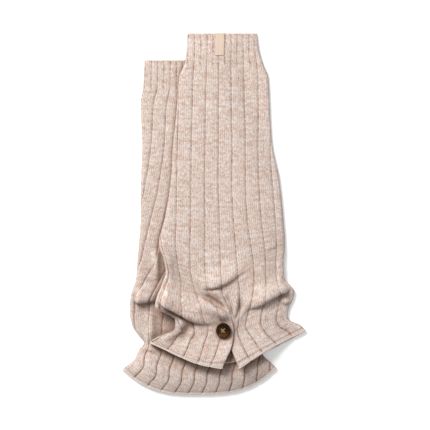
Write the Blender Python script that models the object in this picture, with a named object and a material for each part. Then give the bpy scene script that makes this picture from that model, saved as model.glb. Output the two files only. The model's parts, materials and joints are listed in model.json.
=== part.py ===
"""A pair of ribbed knit leg warmers, laid flat with one lying partly on the other.

Each leg warmer is one knitted tube, pressed flat: a fine-rib cuff, then a leg of wide ribs. The
lower part is pushed up into folds. The one on top has a slit at its hem that a button holds.

All forms are worked out in millimetres, +Z up, and become metres as the meshes are made. The
garment's length runs along Y, with the cuffs towards +Y. A point of a tube is named by two
coordinates: `rib`, counted round the tube in ribs, and `along`, in millimetres down from the cuff's
seam. Rib 0 is the line that the slit opens on.
"""

import bmesh
import bpy
import numpy as np
from mathutils import Vector

MM = 0.001
MIDDLE = (-1.5, -0.3, 0)  # the tables' place for the laid pair's middle, which is the origin

# Knit
WALL = 1.8  # thickness of the knit in a groove between two ribs
LAYER_GAP = 1.0  # air between the front and back of a flattened tube
FLAT = 2 * WALL + LAYER_GAP  # height of a flattened tube, without its ribs
RIB_RISE = 1.05  # how far a wide rib stands out of its grooves
FINE_RISE = 0.55  # the same on the cuffs
RIB_FULLNESS = 6  # how square a rib's cut is; 2 makes it a parabola
RIBS_AROUND = 17  # wide ribs round each tube
SEAM_GAP = 0.3  # between a cuff and its leg, and between touching pieces
REST_GAP = 0.5  # from the lower leg warmer's ribs to the one that lies on it
KNIT_COLOUR, KNIT_ROUGHNESS = (0.75, 0.62, 0.54), 0.9

# Where the pair lies: the lower one's flat back is the plane Z = 0
UPPER_CUFF = 37.0  # cuff heights, top edge to seam
UNDER_CUFF = 33.0
UPPER_HEM = 388.0  # where each hem is, along the tube
UNDER_HEM = 389.0
SLIT_TOP = 329.0
SLIT_FREES = 40.0  # how far below the slit's top each flap's hem runs straight on to its own corner
LIFT_REACH = 1.5  # how many ribs of the left flap are lifted to lie over the right one
DRAPE = 14.0  # how softly the upper one drapes off the lower one's edges
HEM_KICK, HEM_KICKS_FROM = 9.5, 342.0  # how far the front's hem stands off what is under it
RIGHT_KICK = 0.3  # the share of that which is left at the right side
KICK_FALLS_FROM, KICK_FALLS_OVER = 1.0, 3.0  # where it falls to that share, in ribs
HEM_SWELL, HEM_SWELLS_FROM = 7.0, 312.0  # how far the lower one's front swells above its hem
HEM_SWELL_ENDS = 352.0
HEM_KICK_REACH = 1.2  # how many ribs in from a side turn the hem reaches that height
SIDE_REACH = 1.3  # how many ribs in from a side its own height is felt
WIDEST_TURN = 3.2  # a side turn is half round until it is twice this high, and steeper above
GATHER = (22.5, -140.0)  # the slit's top, towards which the cloth is drawn
GATHER_PULL, GATHER_REACH = 0.42, 17.0
BACK_HEM_SAG = 32.0  # the upper leg warmer's back hem hangs this far below its corners
BACK_SAGS_FROM = 284.0
BACK_SAG_FULLNESS = 1.6  # how square its curve is; 2 makes it a parabola
UNDER_SAG_FULLNESS = 3  # the same for the lower leg warmer's rows
UNDER_SIDE_SLOPE = 0.6  # how much of their slope at the ends is kept where they turn
UNDER_BACK_SAG = 0.97  # how much of the front's sag its back has

# A fold's cut: its height is shared by two arcs, the lip and the foot where it comes down
LIP_SHARE = 0.72
FOOT_SHARE = 1 - LIP_SHARE
FRONT_TAKEN = 0.55  # how much flat cloth a fold's front takes up, for each mm of it
FADE = 0.35  # how many ribs in from a side turn the folds reach their height

# Small pieces
LABEL_WIDTH, LABEL_FRONT, LABEL_THICK = 11.0, 28.5, 0.8
LABEL_STANDS = 1.3  # how far the folded tab stands above the cuff's edge
LABEL_HOOK = 2.4  # how far it turns down there
LABEL_RIB = 0.02  # the rib that its middle lies on
LABEL_COLOUR, LABEL_ROUGHNESS = (0.93, 0.72, 0.52), 0.6
BUTTON_WIDTH, BUTTON_THICK, BUTTON_RIM, BUTTON_DISH = 20.0, 4.2, 3.0, 1.3
BUTTON_HOLE, BUTTON_HOLE_SPACING = 2.0, 4.6
BUTTON_TURN = 0.9  # how its holes are turned
BUTTON_LEAN = (-0.52, 0.0)  # the way its face leans, to +X and +Y
BUTTON_RIB, BUTTON_ALONG = -0.78, 341.0  # where it is sewn on
BUTTON_COLOUR, BUTTON_ROUGHNESS = (0.06, 0.035, 0.015), 0.25

# Where the meshes have vertices: across a rib, in ribs, and round a side turn, from back to front
WIDE_RIB = (0, 0.2, 0.8)
FINE_RIBS = (0, 0.13, 0.37, 0.5, 0.63, 0.87)
PLAIN = (0, 0.5)
TURN = (-1, -0.5, 0, 0.5, 1)
CLEAR = 0.12  # least distance between a side turn and the next column, in ribs
LABEL_COLUMNS, LABEL_ROWS = 8, 9
BUTTON_SIDES, HOLE_SIDES = 24, 8
# Along each tube: stretches of (start, end, distance between rows)
SEAM = SEAM_GAP / 2
UNDER_CUFF_STRETCHES = ((-UNDER_CUFF, -SEAM, 16),)
UPPER_CUFF_STRETCHES = ((-UPPER_CUFF, -SEAM, 6),)
UNDER_LEG_STRETCHES = ((SEAM, 195, 22), (195, 300, 5.5), (300, UNDER_HEM, 8))
UPPER_LEG_STRETCHES = (
    (SEAM, 28, 9),
    (28, 150, 24),
    (150, 250, 12.5),
    (250, SLIT_TOP, 2.8),
    (SLIT_TOP, UPPER_HEM, 6),
)
UNDER_BACK_STEPS, UPPER_CUFF_BACK_STEPS, UPPER_LEG_BACK_STEPS = 4, 9, 11


def table(names, rows):
    """The named columns of a table that has one row for each section or fold."""
    return dict(zip(names.split(), np.array(rows, float).T))


# The upper leg warmer's rows, from the cuff's edge to the hem. Each gives where the row crosses the
# left silhouette, rib -2, the slit line, rib +2 and the right silhouette; which rib is on each
# silhouette; and the tube's height at each side.
UPPER_ROWS = table(
    "along left_x left_y inner_left_x inner_left_y slit_x slit_y inner_right_x inner_right_y"
    " right_x right_y rib_left rib_right left_high right_high",
    [
        (-37, -35.5, 229, -26, 229, 6, 229, 36, 229, 53.5, 229, -2.7, 3.2, 4.6, 4.6),
        (-17, -36.5, 210, -26, 210, 5.5, 210, 36, 210, 56, 210, -2.7, 3.4, 4.6, 4.6),
        (0, -38.5, 192, -26.5, 192, 5, 192, 36.5, 192, 61, 192, -2.8, 3.55, 4.6, 4.6),
        (19, -46, 173, -28, 172, 5, 172, 37, 172, 68, 173, -3.05, 3.8, 4.6, 4.6),
        (61, -49, 131, -29, 130, 4.5, 129, 38, 130, 70, 131, -3.2, 3.9, 4.6, 4.6),
        (105, -53.5, 88, -30, 87, 4.5, 86, 39, 87, 73, 88, -3.4, 4.2, 4.6, 4.6),
        (148, -56.5, 44, -30.5, 43, 4, 42, 39, 43, 82, 44, -3.5, 4.6, 4.6, 4.6),
        (196, -63.5, -3, -31, -5, 5.5, -6, 41, -5, 87, -3, -3.85, 4.65, 4.6, 4.8),
        (236, -71.5, -39, -32, -44, 6.5, -45, 45.5, -39, 89, -33, -4.25, 4.7, 5.5, 5),
        (262, -65.5, -59, -31.5, -71, 7.5, -74, 48, -56, 89, -48, -4.4, 4.75, 8.5, 5.5),
        (284, -63, -76, -27.5, -93, 8.5, -97, 49.5, -69, 87.5, -64, -4.5, 4.8, 9, 7),
        (297, -68.5, -93, -23, -106, 11.5, -108, 50, -88, 88.5, -83, -4.5, 4.9, 9, 8),
        (311, -74.5, -108, -18, -121, 18, -122, 46.5, -109.5, 97.5, -94, -4.5, 5, 9.5, 8),
        (325, -76.5, -120, -13.5, -137, 22, -137.5, 44, -123.5, 101.5, -100.5, -4.5, 5.1, 10, 7),
        (333, -54, -136, -9, -146.5, 23, -143, 42.5, -135, 100.5, -108, -4.6, 5, 9.5, 5),
        (342, -54.5, -148, -10, -155.5, 24.5, -151.5, 41, -146, 95, -120, -5, 4.9, 9.5, 4.6),
        (353, -66, -154.5, -13.5, -165.5, 23.5, -162, 44, -153.5, 92.5, -131, -5.2, 4.9, 8, 4.6),
        (364, -76, -159.5, -16.5, -176, 20.5, -173.5, 50.5, -164, 96.5, -138, -5.3, 4.9, 6.5, 4.6),
        (377, -80.5, -162.5, -19.5, -185, 15.5, -184.5, 55, -171, 108.5, -143, -5.2, 4.9, 5, 4.6),
        (388, -82.5, -165, -22, -191, 9.5, -197, 60.5, -177.5, 115, -149.5, -5.1, 4.9, 4.6, 4.6),
    ],
)
# The slit: how far the left flap lies over the right one (less than 0 where they part), and how far
# the left flap is lifted to lie over it.
SLIT_ROWS = table(
    "along lap lift",
    [
        (300, 0, 0),
        (329, 0, 0),
        (334, -0.8, 2.2),
        (340, 2, 3.6),
        (345, 6, 3.8),
        (353, 6, 3.8),
        (362, 2, 3.6),
        (367, -2, 2.4),
        (377, -9.5, 1),
        (388, -20.5, 0.3),
    ],
)
# The lower leg warmer's rows. Between its two silhouettes a row hangs down by `sag`.
UNDER_ROWS = table(
    "along left_x left_y right_x right_y sag rib_left rib_right left_high right_high",
    [
        (-33, -90.5, 194.5, -3, 194.5, 0, -3.2, 2.5, 4.6, 4.6),
        (0, -92, 162, 2, 162, 0, -3.2, 2.7, 4.6, 4.6),
        (22, -95, 139, 9, 139, 1, -3.05, 3.3, 4.6, 4.6),
        (75, -93, 86, 27.5, 86, 1, -2.75, 4.6, 4.6, 4.6),
        (135, -95, 26, 44, 26, 1, -2.3, 5.9, 4.6, 4.6),
        (168, -95, -7, 54.5, -7, 1, -1.8, 6.8, 4.6, 4.6),
        (199, -97, -38, 59, -38, 2.5, -1.5, 7.4, 5, 4.6),
        (221, -99, -59.5, 60, -59.5, 4, -1.35, 7.8, 6, 4.6),
        (247, -101, -85, 60, -85, 4, -0.8, 8.3, 8, 4.6),
        (267, -107, -104.5, 59.5, -108, 5, -0.65, 8.6, 13, 4.6),
        (280, -108.5, -116, 59, -122, 6, -0.55, 8.8, 9, 4.6),
        (294, -108.5, -129, 58, -139, 7, -0.4, 9, 6, 4.6),
        (309, -106, -143, 58, -154, 10, -0.3, 9.3, 6, 4.6),
        (322, -98.5, -155.5, 58, -168, 14, 0, 9.7, 6, 4.6),
        (335, -90.5, -165.5, 60, -178.5, 18, 0.5, 10.2, 6, 4.6),
        (348, -97.5, -176, 64, -185, 23, 0.4, 10.7, 5, 4.6),
        (362, -103, -188, 70.5, -190.5, 27, 0.2, 11.1, 4.6, 4.6),
        (377, -113.5, -196, 75.5, -195.5, 30, 0.1, 11.4, 4.6, 4.6),
        (389, -118, -200, 78, -198, 31, 0.1, 11.5, 4.6, 4.6),
    ],
)
# Folds. Each lip runs from its start to its end, with the garment's lower side on the right of that
# direction. It is bowed towards that side by `bow`, and sways to it by `sway` in its first half and
# away from it in its second. The cloth rises to `high` over `rise`, then turns under the lip through
# `turn` degrees. `ease_in` and `ease_out` are the shares of the length over which the fold comes and
# goes.
FOLD_COLUMNS = "start_x start_y end_x end_y bow sway high rise turn ease_in ease_out"
UPPER_FOLDS = table(
    FOLD_COLUMNS,
    [
        # the roll over the left flap
        (-84, -114, 14, -139, 9, -5, 12, 30, 98, 0.06, 0.4),
        # the bulge over the right flap
        (34, -128, 110, -97, -2, 2, 12, 22, 118, 0.4, 0.2),
        # the slanting crease above the slit
        (-20, -98, 54, -66, 6, 2, 7, 24, 105, 0.25, 0.8),
        # the roll's right end, falling into the gathers
        (21, -128, -22, -104, -2, 0, 6, 13, 85, 0.25, 0.3),
        # two small creases near the right side
        (62, -49, 82, -43, 0, 0, 1.5, 9, 80, 0.4, 0.4),
        (82, -114, 104, -115, 2, 0, 3, 8, 85, 0.35, 0.3),
    ],
)
UNDER_FOLDS = table(
    FOLD_COLUMNS,
    [
        # the bulge at the left, and its hidden run under the other leg warmer
        (-118, -116, -60, -119, -3, 1, 11, 20, 120, 0.02, 0.6),
        # the pinch over the flare
        (-104, -171, -60, -181, 1, 0, 4, 12, 100, 0.2, 0.6),
    ],
)
# The button's cut, from its back's edge over the rim to the dish
BUTTON_PROFILE = table(
    "in_from_edge height",
    [
        (2.0, 0),
        (0.6, 0.6),
        (0, 1.8),
        (0.4, BUTTON_THICK - 1.0),
        (1.3, BUTTON_THICK - 0.2),
        (2.0, BUTTON_THICK),
        (BUTTON_RIM, BUTTON_THICK - 0.5),
        (BUTTON_RIM + 0.9, BUTTON_THICK - BUTTON_DISH),
    ],
)


# --- Curves through the tables


def gentle_slopes(knots, values):
    """Slopes at the knots for a cubic that never overshoots the values."""
    step = np.diff(knots)
    rise = np.diff(values) / step
    slope = np.zeros(len(values))
    slope[0], slope[-1] = rise[0], rise[-1]
    before, after = rise[:-1], rise[1:]
    same = before * after > 0
    weight_before, weight_after = 2 * step[1:] + step[:-1], step[1:] + 2 * step[:-1]
    total = weight_before + weight_after
    safe = np.where(same, before, 1), np.where(same, after, 1)
    slope[1:-1] = np.where(same, total / (weight_before / safe[0] + weight_after / safe[1]), 0)
    return slope


def through_slopes(knots, values):
    """Slopes at the knots, each row's own, for a cubic that flows through them."""
    step = np.diff(knots, axis=1)
    rise = np.diff(values, axis=1) / step
    slope = np.empty_like(values)
    slope[:, 0], slope[:, -1] = rise[:, 0], rise[:, -1]
    shares = step[:, 1:] / (step[:, 1:] + step[:, :-1])
    slope[:, 1:-1] = rise[:, :-1] * shares + rise[:, 1:] * (1 - shares)
    return slope


def cubic(knots, values, slopes, where):
    """The cubic's value at `where`; each argument has one row for each point."""
    i = np.clip((where[:, None] >= knots[:, 1:-1]).sum(axis=1), 0, knots.shape[1] - 2)
    rows = np.arange(len(where))
    x0, x1 = knots[rows, i], knots[rows, i + 1]
    y0, y1 = values[rows, i], values[rows, i + 1]
    s0, s1 = slopes[rows, i], slopes[rows, i + 1]
    width = x1 - x0
    t = np.clip((where - x0) / width, 0, 1)
    past = where - x0 - t * width
    return (
        y0 * (1 + 2 * t) * (1 - t) ** 2
        + y1 * t * t * (3 - 2 * t)
        + width * t * (1 - t) * (s0 * (1 - t) - s1 * t)
        + past * np.where(past < 0, s0, s1)
    )


def column(rows, name, along):
    """A table's column, read at `along`."""
    knots, values = rows["along"], rows[name]
    size = (len(along), len(knots))
    spread = [np.broadcast_to(a, size) for a in (knots, values, gentle_slopes(knots, values))]
    return cubic(*spread, along)


def ease(t):
    """0 up to t = 0, 1 from t = 1, and a smooth step between."""
    t = np.clip(t, 0, 1)
    return t * t * (3 - 2 * t)


def unit(x, y):
    length = np.hypot(x, y)
    return x / length, y / length


# --- Folds


def fold_section(beyond, high, rise, turn):
    """A fold's cut: how far the cloth moves downhill and up, `beyond` mm past the lip line."""
    turn = np.radians(turn)
    both = high / (1 - np.cos(turn))
    lip, foot = LIP_SHARE * both, FOOT_SHARE * both  # the two arcs' radii
    front = both * turn
    cover = FRONT_TAKEN * front
    crest = cover - both * np.sin(turn)
    start = beyond + crest + lip
    rising = ease(1 + start / rise)
    run = np.clip(start / cover, 0, 1) * front
    on_lip = np.minimum(run / lip, turn)
    on_foot = turn - np.maximum(run - lip * turn, 0) / foot
    moved = crest + lip * np.sin(on_lip) + foot * (np.sin(turn) - np.sin(on_foot))
    height = high - lip * (1 - np.cos(on_lip)) - foot * (np.cos(on_foot) - np.cos(turn))
    moved = np.where(start < 0, start + crest * rising, np.where(start > cover, start, moved))
    height = np.where(start < 0, high * rising, np.where(start > cover, 0, height))
    return moved - start, height


def folded(folds, x, y):
    """What all the folds add to a point of the flat cloth: dx, dy, dz."""
    moves = np.zeros((3, len(x)))
    for i in range(len(folds["high"])):
        fold = {name: values[i] for name, values in folds.items()}
        length = np.hypot(fold["end_x"] - fold["start_x"], fold["end_y"] - fold["start_y"])
        tx, ty = unit(fold["end_x"] - fold["start_x"], fold["end_y"] - fold["start_y"])
        from_x, from_y = x - fold["start_x"], y - fold["start_y"]
        share = np.clip((from_x * tx + from_y * ty) / length, 0, 1)
        bent = fold["bow"] * 4 * share * (1 - share) + fold["sway"] * np.sin(2 * np.pi * share)
        beyond = from_x * ty - from_y * tx - bent
        strength = ease(share / fold["ease_in"]) * ease((1 - share) / fold["ease_out"])
        moved, height = fold_section(beyond, fold["high"], fold["rise"], fold["turn"])
        moves += strength * np.array([moved * ty, -moved * tx, height])
    return moves


# --- The tubes

FRONT, SIDE, BACK = 0, 1, 2  # the parts of a flattened tube's ring
STEP_RIB, STEP_ALONG = 0.02, 0.15  # how far apart the points that give a normal are


class Tube:
    """One leg warmer's form. Each kind gives its rows in plan: `inward`, `front_plan` and `back`."""

    def __init__(self, rows, folds, support):
        self.rows, self.folds, self.support = rows, folds, support

    def row(self, along):
        """Where a row lies, which way it faces at its ends, and how many ribs each side turn takes."""
        row = {name: column(self.rows, name, along) for name in self.rows if name != "along"}
        row["along"] = along
        for side in ("left", "right"):
            toward_x, toward_y = self.inward(row, side)
            radius = np.minimum(row[side + "_high"] / 2, WIDEST_TURN)
            row[side + "_out"] = -toward_x, -toward_y
            row[side + "_in_x"] = row[side + "_x"] + radius * toward_x
            row[side + "_in_y"] = row[side + "_y"] + radius * toward_y
        wide = np.hypot(row["right_in_x"] - row["left_in_x"], row["right_in_y"] - row["left_in_y"])
        quarter = np.pi / 4 * np.array([row["left_high"], row["right_high"]])
        front_ribs = row["rib_right"] - row["rib_left"]
        row["front_turn"] = quarter * front_ribs / (wide + quarter.sum(axis=0))
        row["back_turn"] = quarter * (RIBS_AROUND - front_ribs) / (wide + quarter.sum(axis=0))
        return row

    def base(self, rib, along, side):
        """The outer surface in the grooves: x, y, z. `side` is -1 or +1 for the slit's two edges."""
        row = self.row(along)
        left, right = row["rib_left"], row["rib_right"]
        low = left - row["back_turn"][0]
        rib = low + np.mod(rib - low, RIBS_AROUND)
        near_left = rib < left + row["front_turn"][0]
        near_right = (rib > right - row["front_turn"][1]) & (rib < right + row["back_turn"][1])
        back = rib >= right + row["back_turn"][1]
        # The front's point that each side turn hangs from is its end of the row.
        held = np.clip(rib, left + row["front_turn"][0], right - row["front_turn"][1])
        x, y, z = self.front(row, held, side)
        angle_left = np.where(
            rib > left,
            (rib - left) / row["front_turn"][0],
            (rib - left) / row["back_turn"][0],
        )
        angle_right = np.where(
            rib < right,
            (right - rib) / row["front_turn"][1],
            (right - rib) / row["back_turn"][1],
        )
        around = np.zeros((3, len(rib)))
        for where, name, angle in (
            (near_left, "left", angle_left),
            (near_right, "right", angle_right),
        ):
            turn = np.clip(angle, -1, 1) * np.pi / 2
            out_x, out_y = row[name + "_out"]
            start_x, start_y = row[name + "_in_x"], row[name + "_in_y"]
            floor = self.support(start_x, start_y)
            radius = np.minimum(row[name + "_high"] / 2, WIDEST_TURN)
            share = (1 + np.sin(turn)) / 2
            round_x = start_x + radius * out_x * np.cos(turn) + (x - start_x) * share
            round_y = start_y + radius * out_y * np.cos(turn) + (y - start_y) * share
            x = np.where(where, round_x, x)
            y = np.where(where, round_y, y)
            facing = [out_x * np.cos(turn), out_y * np.cos(turn), np.sin(turn)]
            around = np.where(where, facing, around)
            z = np.where(where, floor + (z - floor) * share, z)
        back_end = low + RIBS_AROUND
        back_start = right + row["back_turn"][1]
        share = np.clip((back_end - rib) / (back_end - back_start), 0, 1)
        back_x, back_y = self.back(row, share)
        x, y = np.where(back, back_x, x), np.where(back, back_y, y)
        z = np.where(back, self.support(x, y), z)
        part = np.where(back, BACK, np.where(near_left | near_right, SIDE, FRONT))
        return np.array([x, y, z]), part, around

    def front(self, row, rib, side):
        """The front's outer surface in the grooves."""
        x, y = self.front_plan(row, rib, side)
        left, right = row["rib_left"], row["rib_right"]
        inside = np.minimum(rib - left - row["front_turn"][0], right - row["front_turn"][1] - rib)
        moves = folded(self.folds, x, y) * ease(inside / FADE)
        x, y = self.gathered(x + moves[0], y + moves[1])
        z = self.support(x, y) + self.height(row, rib, side) + moves[2]
        return x, y, z

    def height(self, row, rib, side):
        """The tube's height: each side's own near that side, and flat between."""
        from_left = 1 - ease((rib - row["rib_left"]) / SIDE_REACH)
        from_right = 1 - ease((row["rib_right"] - rib) / SIDE_REACH)
        return (
            FLAT
            + (row["left_high"] - FLAT) * from_left
            + (row["right_high"] - FLAT) * from_right
        )

    def gathered(self, x, y):
        return x, y


class UnderTube(Tube):
    FIRST_RIB = 1.5

    def inward(self, row, side):
        turn = 1 if side == "left" else -1
        slope = 4 * UNDER_SIDE_SLOPE * row["sag"]
        across_x = row["right_x"] - row["left_x"]
        across_y = row["right_y"] - row["left_y"]
        return unit(turn * across_x, turn * across_y - slope)

    def plan(self, row, share, sag):
        x = row["left_in_x"] + (row["right_in_x"] - row["left_in_x"]) * share
        y = row["left_in_y"] + (row["right_in_y"] - row["left_in_y"]) * share
        return x, y - sag * (1 - np.abs(2 * share - 1) ** UNDER_SAG_FULLNESS)

    def front_plan(self, row, rib, side):
        start = row["rib_left"] + row["front_turn"][0]
        end = row["rib_right"] - row["front_turn"][1]
        return self.plan(row, (rib - start) / (end - start), row["sag"])

    def height(self, row, rib, side):
        from_side = np.minimum(rib - row["rib_left"], row["rib_right"] - rib)
        grown = ease((row["along"] - HEM_SWELLS_FROM) / (HEM_SWELL_ENDS - HEM_SWELLS_FROM))
        gone = ease((row["along"] - HEM_SWELL_ENDS) / (UNDER_HEM - HEM_SWELL_ENDS))
        swell = HEM_SWELL * grown * (1 - gone) * ease(from_side / HEM_KICK_REACH)
        return super().height(row, rib, side) + swell

    def back(self, row, share):
        return self.plan(row, share, row["sag"] * UNDER_BACK_SAG)


class UpperTube(Tube):
    FIRST_RIB = 0

    def inward(self, row, side):
        near = "inner_" + side
        return unit(row[near + "_x"] - row[side + "_x"], row[near + "_y"] - row[side + "_y"])

    def front_plan(self, row, rib, side):
        on_right = np.where(side == 0, rib > 0, side > 0)
        lap = np.where(on_right, column(SLIT_ROWS, "lap", row["along"]), 0)
        freed = ease((row["along"] - SLIT_TOP) / SLIT_FREES)
        knots = np.array(
            [
                row["rib_left"] + row["front_turn"][0],
                np.full(len(rib), -2.0),
                np.zeros(len(rib)),
                np.full(len(rib), 2.0),
                row["rib_right"] - row["front_turn"][1],
            ]
        ).T
        places = []
        for axis, shift in (("x", lap), ("y", 0 * lap)):
            values = np.array(
                [
                    row["left_in_" + axis],
                    row["inner_left_" + axis],
                    row["slit_" + axis] - shift,
                    row["inner_right_" + axis],
                    row["right_in_" + axis],
                ]
            ).T
            slopes = through_slopes(knots, values)
            rise = np.diff(values, axis=1) / np.diff(knots, axis=1)
            own = np.where(on_right, rise[:, 2], rise[:, 1])
            slopes[:, 2] += freed * (own - slopes[:, 2])
            places.append(cubic(knots, values, slopes, rib))
        return places

    def height(self, row, rib, side):
        on_left = np.where(side == 0, rib <= 0, side < 0)
        lift = column(SLIT_ROWS, "lift", row["along"]) * (1 - ease(-rib / LIFT_REACH))
        from_side = np.minimum(rib - row["rib_left"], row["rib_right"] - rib)
        kick = ease((row["along"] - HEM_KICKS_FROM) / (UPPER_HEM - HEM_KICKS_FROM))
        kick *= HEM_KICK * ease(from_side / HEM_KICK_REACH)
        kick *= 1 - (1 - RIGHT_KICK) * ease((rib - KICK_FALLS_FROM) / KICK_FALLS_OVER)
        return super().height(row, rib, side) + np.where(on_left, lift, 0) + kick

    def gathered(self, x, y):
        to_x, to_y = GATHER[0] - x, GATHER[1] - y
        pull = GATHER_PULL * np.exp(-(to_x**2 + to_y**2) / GATHER_REACH**2)
        return x + pull * to_x, y + pull * to_y

    def back(self, row, share):
        x = row["left_in_x"] + (row["right_in_x"] - row["left_in_x"]) * share
        y = row["left_in_y"] + (row["right_in_y"] - row["left_in_y"]) * share
        grown = (row["along"] - BACK_SAGS_FROM) / (UPPER_HEM - BACK_SAGS_FROM)
        sag = BACK_HEM_SAG * np.clip(grown, 0, 1)
        return x, y - sag * (1 - np.abs(2 * share - 1) ** BACK_SAG_FULLNESS)


def rib_relief(rib, cuff):
    """How far the knit stands out of its grooves: wide ribs, or two fine ones in the same width."""
    phase = np.mod(2 * rib if cuff else rib, 1)
    return (FINE_RISE if cuff else RIB_RISE) * (1 - np.abs(2 * phase - 1) ** RIB_FULLNESS)


def skin(tube, rib, along, side, cuff):
    """Points of a tube's outer surface in the grooves, its normals, and the ribs' rise there."""
    points, part, around = tube.base(rib, along, side)
    after, before = np.where(side < 0, 0, STEP_RIB), np.where(side > 0, 0, STEP_RIB)
    across = tube.base(rib + after, along, side)[0] - tube.base(rib - before, along, side)[0]
    lower, higher = along + STEP_ALONG, along - STEP_ALONG
    down = tube.base(rib, lower, side)[0] - tube.base(rib, higher, side)[0]
    normals = np.cross(down, across, axis=0)
    normals /= np.linalg.norm(normals, axis=0)
    normals = np.where(part == SIDE, around, normals)
    shares = [np.ones(len(rib)), np.clip(normals[2], 0, 1), np.zeros(len(rib))]
    return points, normals, rib_relief(rib, cuff) * np.choose(part, shares)


# --- What the upper leg warmer lies on


class Ground:
    """The floor and whatever lies on it, as heights over a grid, wrapped as a soft cloth would."""

    CELL = 2.0
    LOW = (-140.0, -250.0)
    COUNT = (140, 250)

    def __init__(self, points, drape):
        grid = np.zeros(self.COUNT)
        cells = [((p - low) / self.CELL + 0.5).astype(int) for p, low in zip(points[:2], self.LOW)]
        np.maximum.at(grid, tuple(cells), points[2])
        reach = int(round(drape / self.CELL))
        for _ in range(2):
            grid = self.spread(grid, reach, np.max)
            grid = self.spread(grid, reach, np.mean)
            reach = 1
        self.grid = grid

    @staticmethod
    def spread(grid, reach, how):
        for axis in (0, 1):
            rolled = [np.roll(grid, shift, axis) for shift in range(-reach, reach + 1)]
            grid = how(rolled, axis=0)
        return grid

    def __call__(self, x, y):
        u = np.clip((x - self.LOW[0]) / self.CELL, 0, self.COUNT[0] - 1.001)
        v = np.clip((y - self.LOW[1]) / self.CELL, 0, self.COUNT[1] - 1.001)
        i, j = u.astype(int), v.astype(int)
        u, v = u - i, v - j
        grid = self.grid
        low = grid[i, j] * (1 - u) + grid[i + 1, j] * u
        high = grid[i, j + 1] * (1 - u) + grid[i + 1, j + 1] * u
        return low * (1 - v) + high * v


def floor(x, y):
    return np.zeros(len(x))


def resting(height):
    """The support's height with the gap to what lies on it; none on the bare floor."""
    return height + REST_GAP * ease(height / 2)


def outer_points(tube, start, end, cuff):
    """Outer points of a stretch of tube, closer together than a cell of the ground."""
    ribs = np.arange(0, RIBS_AROUND, 0.11)
    alongs = np.arange(start, end + 1, Ground.CELL)
    rib, along = [a.ravel() for a in np.meshgrid(ribs, alongs)]
    points, normals, rise = skin(tube, rib, along, np.zeros(len(rib)), cuff)
    return points + rise * normals


# --- Meshes


def ring_stops(tube, along, stops, back_steps):
    """Where one ring has vertices, from the tube's first rib round to it again: (stretch, place
    along the stretch), by which neighbouring rings are stitched, and the rib."""
    row = tube.row(np.array([along]))
    left, right = row["rib_left"][0], row["rib_right"][0]
    front_turn, back_turn = row["front_turn"][:, 0], row["back_turn"][:, 0]
    first, last = tube.FIRST_RIB, tube.FIRST_RIB + RIBS_AROUND
    after_end = right - front_turn[1]
    before_start = left + front_turn[0] + RIBS_AROUND
    ribs = [k + s for k in range(2 * RIBS_AROUND) for s in stops]
    ring = [((0, first), first)]
    ring += [((0, r), r) for r in ribs if first < r < after_end - CLEAR]
    ring += [((1, t), right + t * (back_turn[1] if t > 0 else front_turn[1])) for t in TURN]
    back_start, back_end = right + back_turn[1], left - back_turn[0] + RIBS_AROUND
    shares = [i / back_steps for i in range(1, back_steps)]
    ring += [((2, share), back_start + share * (back_end - back_start)) for share in shares]
    turns = [(t, left + t * (front_turn[0] if t > 0 else back_turn[0])) for t in TURN]
    ring += [((3, t), r + RIBS_AROUND) for t, r in turns]
    ring += [((4, r), r) for r in ribs if before_start + CLEAR < r < last]
    return [*ring, ((4, last), last)]


def wall_side(mesh, tube, rings, slit, cuff, depth):
    """One side of the wall as rows of (place, vertex): the outer one, or `depth` below its grooves."""
    rows = []
    for along, ring in rings:
        places, ribs = zip(*ring)
        rib = np.array(ribs, float)
        side = np.zeros(len(rib))
        opened = slit is not None and along > slit
        if opened:
            side[0], side[-1] = 1, -1
        points, normals, rise = skin(tube, rib, np.full(len(rib), along), side, cuff)
        points = points + (rise if depth == 0 else -depth) * normals
        row = [placed(mesh, point) for point in points.T[:-1]]
        row.append(placed(mesh, points[:, -1]) if opened else row[0])
        rows.append(list(zip(places, row)))
    for row, next_row in zip(rows, rows[1:]):
        stitch(mesh, row, next_row)
    return rows


def placed(mesh, point):
    """A vertex at a point of the tables' millimetres."""
    return mesh.verts.new((point - np.array(MIDDLE)) * MM)


def stitch(mesh, first, second):
    """Triangles between two lines of (place, vertex), in the order of their places."""
    i = j = 0
    while i < len(first) - 1 or j < len(second) - 1:
        ends_first, ends_second = i == len(first) - 1, j == len(second) - 1
        if ends_second or (not ends_first and first[i + 1][0] <= second[j + 1][0]):
            corners = first[i][1], first[i + 1][1], second[j][1]
            i += 1
        else:
            corners = first[i][1], second[j + 1][1], second[j][1]
            j += 1
        if len(set(corners)) == 3:
            mesh.faces.new(corners)


def in_order(line):
    """A line of vertices, each with its place in it."""
    return list(enumerate(line))


def tube_mesh(name, tube, stretches, stops, back_steps, cuff=False, slit=None):
    """A stretch of tube: ribbed outside, plain inside, closed along its rims and its slit."""
    alongs = spaced(stretches)
    mesh = bmesh.new()
    sides = []
    for depth, columns in ((0.0, stops), (WALL, PLAIN)):
        rings = [(along, ring_stops(tube, along, columns, back_steps)) for along in alongs]
        sides.append(wall_side(mesh, tube, rings, slit, cuff, depth))
    outside, inside = sides
    stitch(mesh, outside[0], inside[0])
    stitch(mesh, outside[-1], inside[-1])
    if slit is not None:
        closed = sum(along <= slit for along in alongs) - 1
        for end in (0, -1):
            edges = [in_order(row[end][1] for row in rows[closed:]) for rows in sides]
            stitch(mesh, *edges)
    return finish(name, mesh)


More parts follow.
